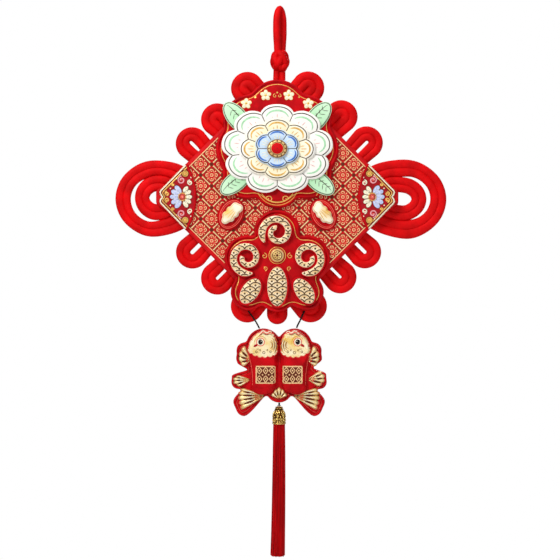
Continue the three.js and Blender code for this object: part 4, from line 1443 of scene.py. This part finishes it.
def make_bud(word, side):
    """An oval backing with a double coral line, and a lobed cream bud with veins on it."""
    x, z, wide, high, tilt = BUD
    middle, turn = (side * x, z), -side * math.radians(tilt)
    oval = ellipse(middle, wide, high, turn, 64)
    back = knot_pad(f"bud_back_{word}", oval, middle, SHIELD_BACK, BUD_THICK, CUSHION, PAD_VELVET, "velvet")
    trim = Lines([back], KNOT)
    trim.loop(ellipse(middle, wide - 4.2, high - 4.2, turn, 60), 0.8)
    trim.loop(ellipse(middle, wide - 7.6, high - 7.0, turn, 60), 0.5, lift=0.15)
    trim.build(f"bud_trim_{word}", CORAL, "velvet")
    centre = knotted(middle[0] + side * 4.5, middle[1] + 3.5, PANEL_FRONT - 8)
    cream = plush(f"cream_plush_{word}", linear(250, 242, 216), linear(238, 184, 72), centre, 16)
    lean = turn + side * 0.26
    lobed = turned(scallops(BUD_LOBES, 64, (0, 0), 1), (middle[0] - side * 0.6, middle[1] + 1.2), lean)
    bud_back = SHIELD_BACK - BUD_THICK - GAP
    front = knot_pad(f"bud_{word}", lobed, middle, bud_back, BUD_THICK, DOME, cream, "cream_plush", 0.9)
    gold = Lines([front], KNOT)
    for share in (-0.55, 0, 0.55):
        vein = [(share * (3 + 0.2 * k) + share * 0.6 * k, 5.5 - 2.2 * k) for k in range(6)]
        gold.line(turned(vein, middle, lean), 0.9, taper=True)
    gold.loop(drawn_in(lobed, 1.2), 0.5)
    gold.build(f"bud_lines_{word}", RICH_GOLD, "gold_cloth")
    return [back, front]


# Cloud of scrolls with the wave print

CLOUD = (0, -70)
CLOUD_LOBES = mirrored(
    [(0, -38.5, 24.3), (32.5, -66, 24.3), (25, -95, 20), (31, -103, 19.5), (0, -104, 20.5)]
)
CLOUD_POINTS = 240
CLOUD_PAD_BACK = SHIELD_FRONT - GAP
SCROLLS = [  # x, z, degrees of the eye, hand
    ("scroll_top", 0, -38.5, 94, 1), ("scroll_left", -32.5, -66, 164, 1), ("scroll_right", 32.5, -66, 16, -1),
]
SCROLL_STEPS = 84
SCROLL_TURNS = 1.35
SCROLL_HIGH = 5.0
EYE_RADIUS, OUTER_RADIUS = 4.8, 17.5
EYE_WIDE, OUTER_WIDE = 7.8, 11.2
CLOUD_PETALS = [  # x, z, wide, high, tilt
    ("cloud_petal_middle", 0, -97, 25, 46, 0),
    ("cloud_petal_left", -29, -102, 22, 34, -35),
    ("cloud_petal_right", 29, -102, 22, 34, 35),
]
PETAL_THICK = 5.0
BEAD = (0, -63.4)
BEAD_RADIUS, BEAD_THICK = 7.5, 4.0


def scroll_section():
    """A flat back with a rounded crown, of unit width and height."""
    section = [(-0.5, 0.0), (0.5, 0.0)]
    for k in range(13):
        a = math.pi * k / 12
        section.append((0.5 * rounded(math.cos(a), 0.7), -0.12 - 0.88 * math.sin(a) ** 0.55))
    return section


def make_scroll(name, x, z, start, hand):
    """A strip wound outwards from its eye, with piping down both sides."""
    path, widths = [], []
    for i in range(SCROLL_STEPS + 1):
        share = i / SCROLL_STEPS
        a = math.radians(start) + hand * TAU * SCROLL_TURNS * share
        tail = 1 - max(0, (share - 0.9) / 0.1) ** 2 * 0.6
        widths.append((EYE_WIDE + (OUTER_WIDE - EYE_WIDE) * share) * tail)
        path.append(Vector(around((x, z), a, EYE_RADIUS + (OUTER_RADIUS - EYE_RADIUS) * share)))
    section = scroll_section()
    verts, piping = [], ([], [])
    for i, p in enumerate(path):
        along = (path[min(i + 1, SCROLL_STEPS)] - path[max(i - 1, 0)]).normalized()
        end = min(i, SCROLL_STEPS - i) / 2.0
        round_end = math.sqrt(max(0.0, 1 - max(0.0, 1 - end) ** 2)) * 0.35 + 0.65
        for across, rise in section:
            side = across * (widths[i] - 2.4)
            depth = CLOUD_PAD_BACK + rise * SCROLL_HIGH * round_end
            verts.append(knotted(p.x - along.y * side, p.y + along.x * side, depth))
        for line, edge in zip(piping, (-0.5, 0.5)):
            side = edge * (widths[i] - 2.0)
            line.append(knotted(p.x - along.y * side, p.y + along.x * side, CLOUD_PAD_BACK - 1.5))
    n = len(section)
    faces = grid_faces(SCROLL_STEPS + 1, n)
    faces.append(tuple(range(n)))
    faces.append(tuple(range(SCROLL_STEPS * n, SCROLL_STEPS * n + n))[::-1])
    round_path = piping[0] + piping[1][::-1]
    edging = tube(round_path + round_path[:2], (1.15, 2.2), 8, caps=False)
    make(f"{name}_piping", *edging, PAD_VELVET, "velvet")
    return make(f"{name}_pad", verts, faces, CREAM_CLOTH, "gold_cloth", (name,), 0.8)


def make_cloud():
    outline = scallops(CLOUD_LOBES, CLOUD_POINTS, CLOUD, 5)
    backing = knot_pad(
        "cloud_back", outline, CLOUD, SHIELD_BACK, SHIELD_THICK, slack(PIPED, 0.82), PAD_VELVET, "velvet",
        pucker=0.12,
    )
    pads = [make_scroll(*row) for row in SCROLLS]
    for name, x, z, wide, high, tilt in CLOUD_PETALS:
        shape = drawn_in(ellipse((x, z), wide, high, math.radians(tilt), 56), 1.3)
        petal = knot_pad(
            name, shape, (x, z), CLOUD_PAD_BACK, PETAL_THICK, CUSHION, CREAM_CLOTH, "gold_cloth", 0.9
        )
        pads.append(petal)
    round_bead = circle(BEAD, BEAD_RADIUS, 40)
    bead = knot_pad(
        "cloud_bead", round_bead, BEAD, CLOUD_PAD_BACK, BEAD_THICK, DOME, GOLD_CLOTH, "gold_cloth", 0.9
    )
    return backing, pads, bead


def dress_cloud(backing, pads, bead):
    print_waves(pads)
    dress_cloud_back(backing, [*pads, bead])
    rims = []
    for _name, x, z, wide, high, tilt in CLOUD_PETALS:
        edge = ellipse((x, z), wide - 1.6, high - 1.6, math.radians(tilt), 60)
        ring = [knotted(*p, CLOUD_PAD_BACK - 1.5) for p in edge]
        rims.append(tube(ring + ring[:2], (1.25, 2.0), 8, caps=False))
    make("cloud_petal_piping", *joined(rims), PAD_VELVET, "velvet")
    heart = Lines([bead], KNOT)
    heart.loop(circle(BEAD, 5, 24), 0.9)
    for a in turns(9)[:-1]:
        heart.dot(around(BEAD, a, 3.0), 0.7, 0.4, 6)
    heart.dot(BEAD, 1.4, 0.5)
    heart.build("bead_lines", BROWN, "gold_cloth")


def print_waves(pads):
    """Rows of overlapping waves, each a brown arc over a gold one, with a dot below."""
    wide, row_high = 11.7, 4.4
    waves, foil = Lines(pads, KNOT), Lines(pads, KNOT)
    for j in range(-29, -2):
        for i in range(-6, 7):
            middle = (wide * (i + 0.5 * (j % 2)), row_high * j)
            waves.line(arc(middle, wide / 2, 8, 172, 12, 0.72), 1.25, lift=0.22, step=1.1)
            waves.dot((middle[0], middle[1] + 1.0), 1.15, 0.28)
            foil.line(arc(middle, wide / 2 * 0.62, 14, 166, 8, 0.75), 0.6, lift=0.2, step=1.1)
    waves.build("cloud_wave_print", WAVE_BROWN, "gold_cloth")
    foil.build("cloud_foil_print", RICH_GOLD, "gold_cloth")


def dress_cloud_back(backing, covers):
    trim = Lines([backing], KNOT, covers)
    trim.loop(drawn_in(scallops(CLOUD_LOBES, 160, CLOUD, 5), 5.0), 0.7)
    trim.loop(circle(BEAD, 9, 40), 0.7)
    for side in (-1, 1):
        trim.line(curl((side * 14, -64), 90, side, 3.2), 0.7)
        trim.line(curl((side * 13, -77.5), -90, -side, 2.6), 0.7)
    trim.build("cloud_gold_lines", RICH_GOLD, "gold_cloth")


# Fish pendant

FIN_LOBES = [  # x, z, radius, each fin's three
    (37.8, 22.5, 4.6), (38, 14, 4.8), (37, 7, 3.8),
    (42.5, -5.5, 5), (44, -12, 4), (37.6, -11.5, 3.2),
    (29, -30, 4), (40, -33, 6), (37.5, -40, 5.5),
]
FISH_RIM = 4.2
FISH_LOBES = mirrored(
    [(17, 27.5, 19), (17, 8, 19), (18, -10, 18), (0, -20, 14.5)]
    + [(x, z, r + FISH_RIM) for x, z, r in FIN_LOBES]
)
FISH_POINTS = 300
# Deeper notches between the fins: degrees, distance from the middle and half their opening in degrees.
FISH_NOTCHES = [(177.5, 35.0, 8.5), (5.5, 38.0, 9.0)]
# One fish's flanks from mouth to tail: height, then the inner and outer distance from the middle line.
FLANKS = [
    (44.6, 9.5, 20.5), (42.0, 5.6, 25.0), (37.5, 3.0, 29.8), (31.0, 1.3, 33.6), (24.0, 0.9, 34.9),
    (17.0, 1.0, 33.9), (9.5, 1.6, 31.8), (1.5, 1.9, 30.4), (-6.0, 2.1, 29.6), (-12.0, 2.8, 29.7),
    (-18.0, 4.8, 30.0), (-22.5, 9.0, 27.4),
]
INNER, OUTER = 1, 2
BODY_MIDDLE = (17.5, 9.5)
BODY_THICK = 6.0
BODY_POINTS = 120
COLLAR = [(1.6, 21.4), (6.5, 17.8), (12, 16.6), (18, 16.2), (24, 17.2), (29.5, 19.6), (34.4, 23.2)]
BACK_STITCHES = 120
EYE = (20.2, 32.0)
CHEEK = (13.2, 28.6)
# In LIPS the coral lines are the lips' own colour, the pale line is a painted highlight on them and the dark
# line is painted shade under them.
LIPS = [  # ink, height, depth of its wave, width
    ("coral", 44.6, 1.0, 1.1), ("pale", 43.2, 1.2, 1.5), ("coral", 41.7, 1.0, 1.0), ("dark", 40.5, 0.8, 0.8),
]
NECK_RINGS = ((9.4, 21.4, 1.1), (16.6, 20.6, 1.4), (24.6, 21.4, 1.1), (20.6, 23.2, 0.8), (12.8, 23.2, 0.8))
FRECKLES = ((27.8, 24.5), (29.2, 33), (8.2, 37), (15, 37.6), (24, 37.8))
SQUARE = (14.6, -3.6)
SQUARE_HALF = (10.2, 9.0)
FISH_INKS = {
    "gold": ("fish_square_lines", PRINT_GOLD),
    "dark": ("fish_dark_lines", BROWN),
    "white": ("fish_eye_lights", CREAM),
    "amber": ("fish_amber_shade", AMBER),
    "coral": ("fish_coral_lines", CORAL),
    "pale": ("fish_pale_lines", CREAM),
    "pupils": ("fish_pupils", STRING),
}
# Fins: rays as (degrees, reach) across the fin, the root that they spread from, and the number of ribs.
FANS = {
    "fish_fin": ([(68, 18), (35, 15.6), (0, 13.2), (-45, 10.6)], (30.5, 12), 4),
    "fish_side_fin": ([(36, 16.5), (14, 20), (-6, 19.5), (-34, 14.5)], (30.5, -9), 4),
    "fish_tail": ([(18, 29), (4, 31.5), (-14, 31.5), (-31, 32.5)], (13.5, -26.5), 5),
}
# The left side fin points lower than its twin, under a deeper notch.
LOWERED_RAYS = {"fish_side_fin_left": [(20, 14.5), (4, 19.5), (-13, 19.5), (-34, 14.5)]}
LOTUS_FAN = ([(20, 9.5), (55, 10.5), (90, 12.8), (125, 10.5), (160, 9.5)], (0, -30.2), 5)
FIN_THICK, LOTUS_THICK = 2.4, 3.0
FAN_RISES = [0, 0.7, 0.86, 0.95, 1, 1, 1, 0.96, 0.8, 0]  # from the root to the rim


def fish_outline(count):
    made = []
    for x, z in scallops(FISH_LOBES, count, (0, 0), 5):
        for turn, reach, opening in FISH_NOTCHES:
            off = (math.degrees(math.atan2(z, x)) - turn + 180) % 360 - 180
            share = min(abs(off) / opening, 1)
            radius = math.hypot(x, z)
            cut = (reach + (radius - reach) * share * share * (3 - 2 * share)) / radius
            x, z = x * cut, z * cut
        made.append((x, z))
    return made


def flipped(points, side):
    """Points of the right-hand fish, mirrored for the left and kept counterclockwise."""
    return list(points) if side > 0 else [(-x, z) for x, z in reversed(points)]


def closed_curve(points, steps):
    """A smooth ring through the points, cut where it passes the first one again."""
    wrapped = points[-2:] + points + points[:2]
    path = smooth_curve([(x, 0, z) for x, z in wrapped], steps * 2)
    half = len(path) // 2

    def nearest(places):
        return min(places, key=lambda i: (path[i].x - points[0][0]) ** 2 + (path[i].z - points[0][1]) ** 2)

    first, last = nearest(range(half)), nearest(range(half, len(path)))
    ring = resampled(path[first:last] + [path[first]], steps)
    return [(p.x, p.z) for p in ring[:-1]]


def body_outline(side):
    inner = [(row[INNER], row[0]) for row in FLANKS]
    outer = [(row[OUTER], row[0]) for row in reversed(FLANKS)]
    return flipped(closed_curve([*inner, (18.5, -25.4), *outer, (15, 45.4)], BODY_POINTS), side)


def flank(z, column):
    """How far out a fish's inner or outer flank lies at a height."""
    for upper, lower in zip(FLANKS, FLANKS[1:]):
        if lower[0] <= z <= upper[0]:
            share = (upper[0] - z) / (upper[0] - lower[0])
            return upper[column] + (lower[column] - upper[column]) * share
    return FLANKS[0][column]


def head_outline(side):
    """The gold head of one fish, down to its scalloped collar."""
    points = [(flank(z, INNER) + 1.1, z) for z in (40.5, 37, 33, 29, 25)]
    scallop_count, steps = 6, 36
    for i, p in enumerate(resampled([Vector(p) for p in COLLAR], steps)):
        points.append((p.x, p.y - 1.7 * abs(math.sin(math.pi * scallop_count * i / steps))))
    points += [(flank(z, OUTER) - 1.1, z) for z in (26, 30, 34, 37.5, 40.5)]
    points += [(20.5, 42.6), (15, 43.2), (9.5, 42.6)]
    return flipped(points, side)


def fan_point(fan, side, t, share):
    """A point of a fin: t goes across its rays and share from its root to its scalloped rim."""
    rays, root, ribs = fan
    spot = t * (len(rays) - 1)
    k = min(int(spot), len(rays) - 2)
    turn, reach = (a + (b - a) * (spot - k) for a, b in zip(rays[k], rays[k + 1]))
    reach *= 1 - 0.1 * (1 - abs(math.sin(math.pi * ribs * t)) ** 0.6)
    x, z = around(root, math.radians(turn), reach * (0.1 + 0.9 * share))
    return (side * x, z)


def make_fan(node, fan, side, thick):
    """A fin whose ribs spread from its root. Returns it with the lines along its valleys, ridges and rim."""
    rays, _root, ribs = fan
    columns, rows = ribs * 8, len(FAN_RISES)
    verts = []
    for r, rise in enumerate(FAN_RISES):
        for c in range(columns + 1):
            t = c / columns
            side_rim = min(1, min(t, 1 - t) * ribs * 3) ** 0.6
            rib = 0.42 + 0.58 * abs(math.sin(math.pi * ribs * t)) ** 0.6
            x, z = fan_point(fan, side, t, r / (rows - 1))
            verts.append((x + FISH[0], FISH_FRONT - thick * rise * rib * side_rim, z + FISH[1]))
    n = columns + 1
    faces = grid_faces(rows, n, wrap=False)
    rim = list(range(n)) + [r * n + n - 1 for r in range(1, rows)]
    rim += [(rows - 1) * n + c for c in range(n - 2, -1, -1)] + [r * n for r in range(rows - 2, 0, -1)]
    hub = len(verts)
    x, z = fan_point(fan, side, 0.5, 0.5)
    verts.append((x + FISH[0], FISH_FRONT, z + FISH[1]))
    faces += [(b, a, hub) for a, b in zip(rim, rim[1:] + rim[:1])]
    if side * (rays[-1][0] - rays[0][0]) > 0:
        faces = [face[::-1] for face in faces]
    piece = make(f"{node}_fan", verts, faces, GOLD_CLOTH, "gold_cloth", (node,), 0.6)
    valleys = [[fan_point(fan, side, k / ribs, s) for s in (0.1, 0.4, 0.7, 0.92)] for k in range(1, ribs)]
    ridges = [[fan_point(fan, side, (k + 0.5) / ribs, s) for s in (0.35, 0.6, 0.9)] for k in range(ribs)]
    edge = [fan_point(fan, side, c / columns, 0.97) for c in range(columns + 1)]
    return piece, valleys, ridges, edge


def make_fish():
    """The pendant's back, bodies and fins. The lotus is the last of the fans."""
    back = pad(
        "fish_back", fish_outline(FISH_POINTS), (0, 0), FISH_BACK_THICK / 2, FISH_BACK_THICK,
        slack(SEAMED, 0.86), FISH, PAD_VELVET, "velvet", pucker=0.1,
    )
    made = {"back": back, "bodies": [], "fans": []}
    for word, side in SIDES:
        for name, (rays, *rest) in FANS.items():
            node = f"{name}_{word}"
            made["fans"].append(make_fan(node, (LOWERED_RAYS.get(node, rays), *rest), side, FIN_THICK))
        middle = (side * BODY_MIDDLE[0], BODY_MIDDLE[1])
        body = pad(
            f"fish_body_{word}", body_outline(side), middle, FISH_FRONT, BODY_THICK, slack(CUSHION, 0.88),
            FISH, PAD_VELVET, "velvet", 0.9,
        )
        made["bodies"].append(body)
    made["fans"].append(make_fan("fish_lotus", LOTUS_FAN, 1, LOTUS_THICK))
    return made


def make_back_stitches():
    """Running stitches in the seam that closes the pendant's back."""
    seam = drawn_in(fish_outline(FISH_POINTS), 3.3)
    path = [Vector((x + FISH[0], 2.65, z + FISH[1])) for x, z in seam + seam[:1]]
    path = resampled(path, BACK_STITCHES * 4)
    parts = [tube(path[4 * k : 4 * k + 4], (0.5, 0.42), 6) for k in range(BACK_STITCHES)]
    make("fish_back_stitches", *joined(parts), SEAM, "velvet")


def square_outline(middle, share, step):
    wide, high = (half * share for half in SQUARE_HALF)
    x, z = middle
    corners = [(x - wide, z - high), (x + wide, z - high), (x + wide, z + high), (x - wide, z + high)]
    return dense_outline(corners, step)


def dress_square(middle, lines):
    """A framed square of lozenge lattice."""
    wide, high = SQUARE_HALF
    left, low = middle[0] - wide, middle[1] - high
    step = 2 * wide / 3
    lines.loop(square_outline(middle, 1, 2), 1.3, lift=0.3)
    for i in range(3):
        for j in range(2):
            x, z = left + step * i, low + high * j
            upright, across = x + step / 2, z + high / 2
            lozenge = [
                (upright, z + 0.8), (x + step - 0.6, across), (upright, z + high - 0.8), (x + 0.6, across),
            ]
            lines.loop(dense_outline(lozenge, 1.2), 0.85, lift=0.25, step=1.0)
            lines.dot((upright, across), 0.95, 0.3)
    for i in (1, 2):
        for j in (0, 1, 2):
            lines.dot((left + step * i, low + high * j), 0.9, 0.3, 6)


def dress_heads(bodies):
    """Gold heads, red lips, a red spot behind each eye and dark squares, for the lines to lie on."""
    heads = Lines(bodies, FISH)
    for side in (-1, 1):
        heads.patch(head_outline(side), 0.75, 16)
    surfaces = [*bodies, heads.build("fish_heads", HEAD_CLOTH, "gold_cloth")]
    red, ground = Lines(surfaces, FISH), Lines(surfaces, FISH)
    for side in (-1, 1):
        red.patch(turned(ellipse((0, 0), 5.2, 2.6, count=12), (side * 25.3, 28.2), -side * 0.5), 0.35)
        red.patch(ellipse((side * 15.4, 42.6), 17.5, 5.6, count=18), 0.5)
        ground.patch(square_outline((side * SQUARE[0], SQUARE[1]), 1.06, 1.5), 0.3, 10)
    surfaces.append(red.build("fish_lips", PATCH_CLOTH, "velvet"))
    surfaces.append(ground.build("fish_square_grounds", BROWN, "gold_cloth"))
    return surfaces


def dress_eye(side, eye, ink):
    ink["pale"].patch(circle(eye, 4.2, 22), 0.3)
    ink["coral"].loop(circle(eye, 4.3, 22), 0.9, lift=0.5)
    ink["pupils"].patch(ellipse(eye, 5.8, 6.4, count=18), 0.7)
    ink["white"].dot((eye[0] - side * 0.9, eye[1] + 0.9), 0.9, 1.2, 10)


def dress_face(side, ink):
    """Collar, eye, gill arcs, rings, freckles, lips and the rim of the flank on one fish."""

    def place(x, z):
        return (side * x, z)

    facing = 180 if side > 0 else 0
    dark, pale, coral, amber = (ink[kind] for kind in ("dark", "pale", "coral", "amber"))
    coral.loop(head_outline(side), 0.8, step=1.0)
    dress_eye(side, place(*EYE), ink)
    dark.line(arc(place(23.2, 28.4), 4.2, 250, 290, 6), 0.5, lift=0.4)
    for radius in (6.0, 8.4, 10.8):
        gill = (facing - 38, facing + 38, 12)
        dark.line(arc(place(*CHEEK), radius, *gill), 0.65, lift=0.4, taper=True)
        pale.line(arc(place(*CHEEK), radius - 1.0, *gill), 0.8, lift=0.4, taper=True)
    for x, z, r in NECK_RINGS:
        dark.loop(arc(place(x, z), r, 0, 360, 9)[:-1], 0.5, lift=0.4, step=0.9)
    for freckle in FRECKLES:
        pale.dot(place(*freckle), 0.7, 0.4, 6)
    # The pale lip line is a painted highlight and the dark one painted shade under the lips.
    for kind, base, wave, wide in LIPS:
        lip = []
        for i in range(21):
            lip.append(place(7.6 + 0.78 * i, base + wave * math.sin(0.63 * i) - 0.012 * (i - 10) ** 2))
        ink[kind].line(lip, wide, lift=0.3, taper=True)
    coral.line([place(flank(z, OUTER) - 0.9, z) for z in (21, 15, 9, 3, -3, -9, -15)], 0.7, step=1.0)
    # Painted shade: amber arcs on the inner side of the cheek and over the eye.
    for radius in (5.2, 7.2, 9.4, 11.6):
        amber.line(arc(place(*CHEEK), radius, facing - 52, facing + 52, 14), 1.1, lift=0.3, taper=True)
    amber.line(arc(place(*EYE), 6.4, 20, 200, 14), 0.8, lift=0.3, taper=True)


def dress_fins(fans, bodies):
    """Dark valleys with red roots, pale ridges and coral rims."""
    pieces = [piece for piece, *_ in fans]
    dark, light, rims, roots = (Lines(pieces, FISH, bodies) for _ in range(4))
    lotus = fans[-1]
    for fan in fans:
        _piece, valleys, ridges, edge = fan
        for points in valleys:
            dark.line(points, 1.3 if fan is lotus else 2.3, lift=0.5, taper=True, step=1.0)
            if fan is not lotus:
                roots.line(points[:2], 2.6, lift=0.7, step=1.0)
        for points in ridges:
            light.line(points, 0.7, lift=0.3, taper=True, step=1.0)
        rims.line(edge, 0.8, lift=0.4, step=0.9)
    roots.build("fin_roots", PAD_VELVET, "velvet")
    dark.build("fin_ribs_brown", BROWN, "gold_cloth")
    light.build("fin_ridges_pale", CREAM, "gold_cloth")
    rims.build("fin_rims", CORAL, "gold_cloth")
    return pieces


def dress_fish(made):
    bodies = made["bodies"]
    ink = Inks(FISH_INKS, dress_heads(bodies), FISH)
    for side in (-1, 1):
        dress_face(side, ink)
        dress_square((side * SQUARE[0], SQUARE[1]), ink["gold"])
    ink.build("gold_cloth")
    fins = dress_fins(made["fans"], bodies)
    edge = Lines([made["back"]], FISH, [*bodies, *fins])
    edge.loop(drawn_in(fish_outline(200), 3.4), 0.6)
    edge.build("fish_rim_lines", CORAL, "gold_cloth")


# Strings, cap and tassel

STRING_RADIUS = 0.7
PLY_RADIUS, PLY_OUT, PLY_TURN_STEPS = 0.6, 0.46, 12
ON_PETAL = -CORD / 2 - GAP - STRING_RADIUS
ROUTES = {
    "string_left": [
        (-33.3, ON_PETAL - 0.05, -327.3), (-29, ON_PETAL - 0.1, -333.5), (-25.4, ON_PETAL + 0.6, -338.6),
        (-22.8, -2.4, -343.4), (-21.6, -1, -346),
    ],
    "string_right": [
        (27.6, ON_PETAL, -327.3), (25, ON_PETAL, -332.6), (22.8, ON_PETAL + 0.6, -337.6),
        (20.2, -2.4, -342.8), (19.2, -1, -345.5),
    ],
    "string_tassel": [(0, 0, -427.7), (0.2, 0, -429), (0, 0, -430.5)],
}


def make_strings():
    """Two plies twisted round each other."""
    for name, route in ROUTES.items():
        middle = smooth_curve([(x + HUNG_X, y, z) for x, y, z in route], 60 if len(route) > 3 else 16)
        parts = []
        for ply in (0, 1):
            path = []
            for i, p in enumerate(middle):
                a = TAU * i / PLY_TURN_STEPS + math.pi * ply
                path.append(p + Vector((math.cos(a), math.sin(a), 0)) * PLY_OUT)
            parts.append(wire(path, PLY_RADIUS))
        make(f"{name}_plies", *joined(parts), STRING, "string", (name,))


CAP_TOP = -431.0
CAP_PROFILE = [  # radius and height under the top, down the outside and up the inside
    (0.1, 0), (1.3, -0.1), (2.0, -0.8), (2.1, -1.6), (1.7, -2.6), (3.0, -3.4), (4.3, -4.5), (5.4, -6.1),
    (6.1, -8.1), (6.6, -10.6), (6.75, -13), (6.8, -19.2), (6.4, -19.3), (6.5, -13), (6.0, -8.6), (4, -6),
    (0.1, -6),
]
CAP_NECK, CAP_LIP = 4, 11  # rows of the profile between which the open work lies
CAP_RINGS = ((2.2, -1.0, 0.7), (6.75, -13.4, 0.45), (6.95, -18.9, 0.5), (6.85, -17.2, 0.3))
COLLAR_RINGS = ((3.3, -1.3, 0.75), (4.1, -3.7, 0.8))
CAP_LEAVES = 6
LIP_GRAINS = 26
CURL_HEIGHT, CURL_RADIUS = -15.4, 1.9


def hung_ring(r, z, count, more=0):
    """Points round the line that the tassel hangs on, and the first ones again."""
    ring = []
    for k in range(count + more):
        a = TAU * k / count
        ring.append((HUNG_X + r * math.cos(a), r * math.sin(a), z))
    return ring


def hung_wire(r, z, thick, count):
    return wire(hung_ring(r, CAP_TOP + z, count, 2), thick, 8, closed=True)


def on_cap(turn, z, lift=0.25):
    """A point just off the cap's outside, at a height under its top."""
    r = CAP_PROFILE[CAP_LIP][0]
    outside = CAP_PROFILE[CAP_NECK : CAP_LIP + 1]
    for (r0, z0), (r1, z1) in zip(outside, outside[1:]):
        if z1 <= z <= z0:
            r = r0 + (r1 - r0) * (z0 - z) / (z0 - z1)
            break
    r += lift
    return (HUNG_X + r * math.cos(turn), r * math.sin(turn), CAP_TOP + z)


def grain(middle, size):
    return ball(middle, size, size, 5, 6)


def cap_leaf(a):
    """One leaf of the open work, with its vein, two curls under it and two grains."""
    leaf = []
    for b in turns(25):
        wide = 0.5 * math.sin(b) * (0.55 + 0.45 * math.cos(b))
        leaf.append(on_cap(a + wide, -8.4 + 4.2 * math.cos(b)))
    vein = [on_cap(a, -5.6, 0.35), on_cap(a, -8, 0.5), on_cap(a, -11.4, 0.35)]
    parts = [wire(leaf, 0.42, closed=True), tube(vein, (0.6, 0.5), 6, flat=False)]
    steps = 16
    for hand in (-1, 1):
        swirl = []
        for i in range(steps + 1):
            b = math.pi * 2.2 * i / steps
            r = CURL_RADIUS * (1 - 0.75 * i / steps)
            swirl.append(on_cap(a + hand * (0.26 - r * math.cos(b) / 6.9), CURL_HEIGHT + r * math.sin(b)))
        parts.append(wire(swirl, 0.34))
    return [*parts, grain(on_cap(a, CURL_HEIGHT, 0.3), 0.75), grain(on_cap(a + TAU / 12, -11.2, 0.3), 0.8)]


def make_cap():
    """A dark bell under bright open work: leaf-shaped wires, curls, grains, rings and a scalloped lip."""
    bell, around_steps = [], 48
    for r, z in CAP_PROFILE:
        bell += hung_ring(r, CAP_TOP + z, around_steps)
    # The bell's dark metal is painted shade under the open work.
    make("tassel_cap_bell", bell, grid_faces(len(CAP_PROFILE), around_steps), SHADED_METAL, "gold_metal")
    parts = [hung_wire(*row, 32) for row in CAP_RINGS]
    for k in range(CAP_LEAVES):
        parts += cap_leaf(TAU * k / CAP_LEAVES + 0.26)
    parts += [grain(on_cap(TAU * k / LIP_GRAINS, -18.1, 0.35), 0.42) for k in range(LIP_GRAINS)]
    make("tassel_cap_metal", *joined(parts), GOLD_METAL, "gold_metal", ("tassel_cap",))
    eye = []
    for b in turns(17):
        eye.append((HUNG_X + 1.9 * math.cos(b), 0.9 * math.sin(b), CAP_TOP + 0.1 + 0.5 * math.sin(b)))
    make("tassel_cap_ring", *wire(eye, 0.38, closed=True), SHADED_METAL, "gold_metal")
    collar = [hung_wire(*row, 24) for row in COLLAR_RINGS]
    make("tassel_cap_collar", *joined(collar), SHADED_METAL, "gold_metal")
    beads = [grain(place, 0.8) for place in hung_ring(3.6, CAP_TOP - 2.5, 12)]
    make("tassel_cap_beads", *joined(beads), GOLD_METAL, "gold_metal")


THREADS = 620
THREAD_STEPS = 8
THREADS_TOP, THREADS_END = -446.5, -594.5
TASSEL_HEAD = ((5.2, -440), (5.8, -444), (6.1, -450))
GOLDEN_ANGLE = 2.399963  # spreads the threads evenly over the head
SEED = 7


def make_tassel():
    """Fine threads that fan out and bend a little to the left, under a bound head."""
    draw = random.Random(SEED)
    head = []
    for r, z in TASSEL_HEAD:
        head += hung_ring(r, z, 24)
    parts = [(head, grid_faces(len(TASSEL_HEAD), 24))]
    for i in range(THREADS):
        reach = math.sqrt((i + 0.5) / THREADS)
        a = i * GOLDEN_ANGLE
        x, y = reach * math.cos(a), reach * math.sin(a)
        end = THREADS_END + abs(draw.gauss(0, 1.1)) + (draw.random() ** 4) * 3
        drift_x, drift_y = draw.gauss(0, 0.35), draw.gauss(0, 0.35)
        path, radii = [], []
        for k in range(THREAD_STEPS + 1):
            share = k / THREAD_STEPS
            spread = 6.1 + 0.3 * min(1, share * 6) + 1.4 * share**1.5
            bend = -1.6 * share**2
            wander = math.sin(share * 5 + a) * 0.25 * share
            across = HUNG_X + x * spread + bend + drift_x * share + wander
            path.append((across, y * spread + drift_y * share, THREADS_TOP + (end - THREADS_TOP) * share))
            thick = 0.34 + 0.06 * share
            radii.append((thick, thick))
        parts.append(tube(path, radii, 4, caps=False))
    make("tassel_threads", *joined(parts), FLOSS, "floss", ("tassel",))


def main():
    set_camera()
    set_light()
    set_floor()
    make_petals()
    make_side_loops()
    make_bottom_loop()
    make_hanging_loop()
    make_core()
    panel = make_panel()
    patches = {word: make_patch(word, side) for word, side in SIDES}
    plaque = make_plaque()
    buds = [piece for word, side in SIDES for piece in make_bud(word, side)]
    backing, pads, bead = make_cloud()
    fish = make_fish()
    piped, seamed, cushioned = (len(rises[0]) - 1 for rises in (PIPED, SEAMED, CUSHION))
    held, body_front = (cushioned - 2) * BODY_POINTS, FISH_FRONT - BODY_THICK - 0.2
    stuffed(
        [
            (plaque["shield"], piped * SHIELD_POINTS, SHIELD_FRONT),
            (backing, piped * CLOUD_POINTS, SHIELD_FRONT),
            (fish["back"], seamed * FISH_POINTS, -FISH_BACK_THICK / 2),
            *((body, held, body_front) for body in fish["bodies"]),
        ]
    )
    print_panel(panel, [plaque["shield"], backing, *buds, *patches.values()])
    for word, side in SIDES:
        print_patch(word, side, patches[word])
    dress_plaque(plaque)
    dress_cloud(backing, pads, bead)
    dress_fish(fish)
    make_back_stitches()
    make_strings()
    make_cap()
    make_tassel()


main()
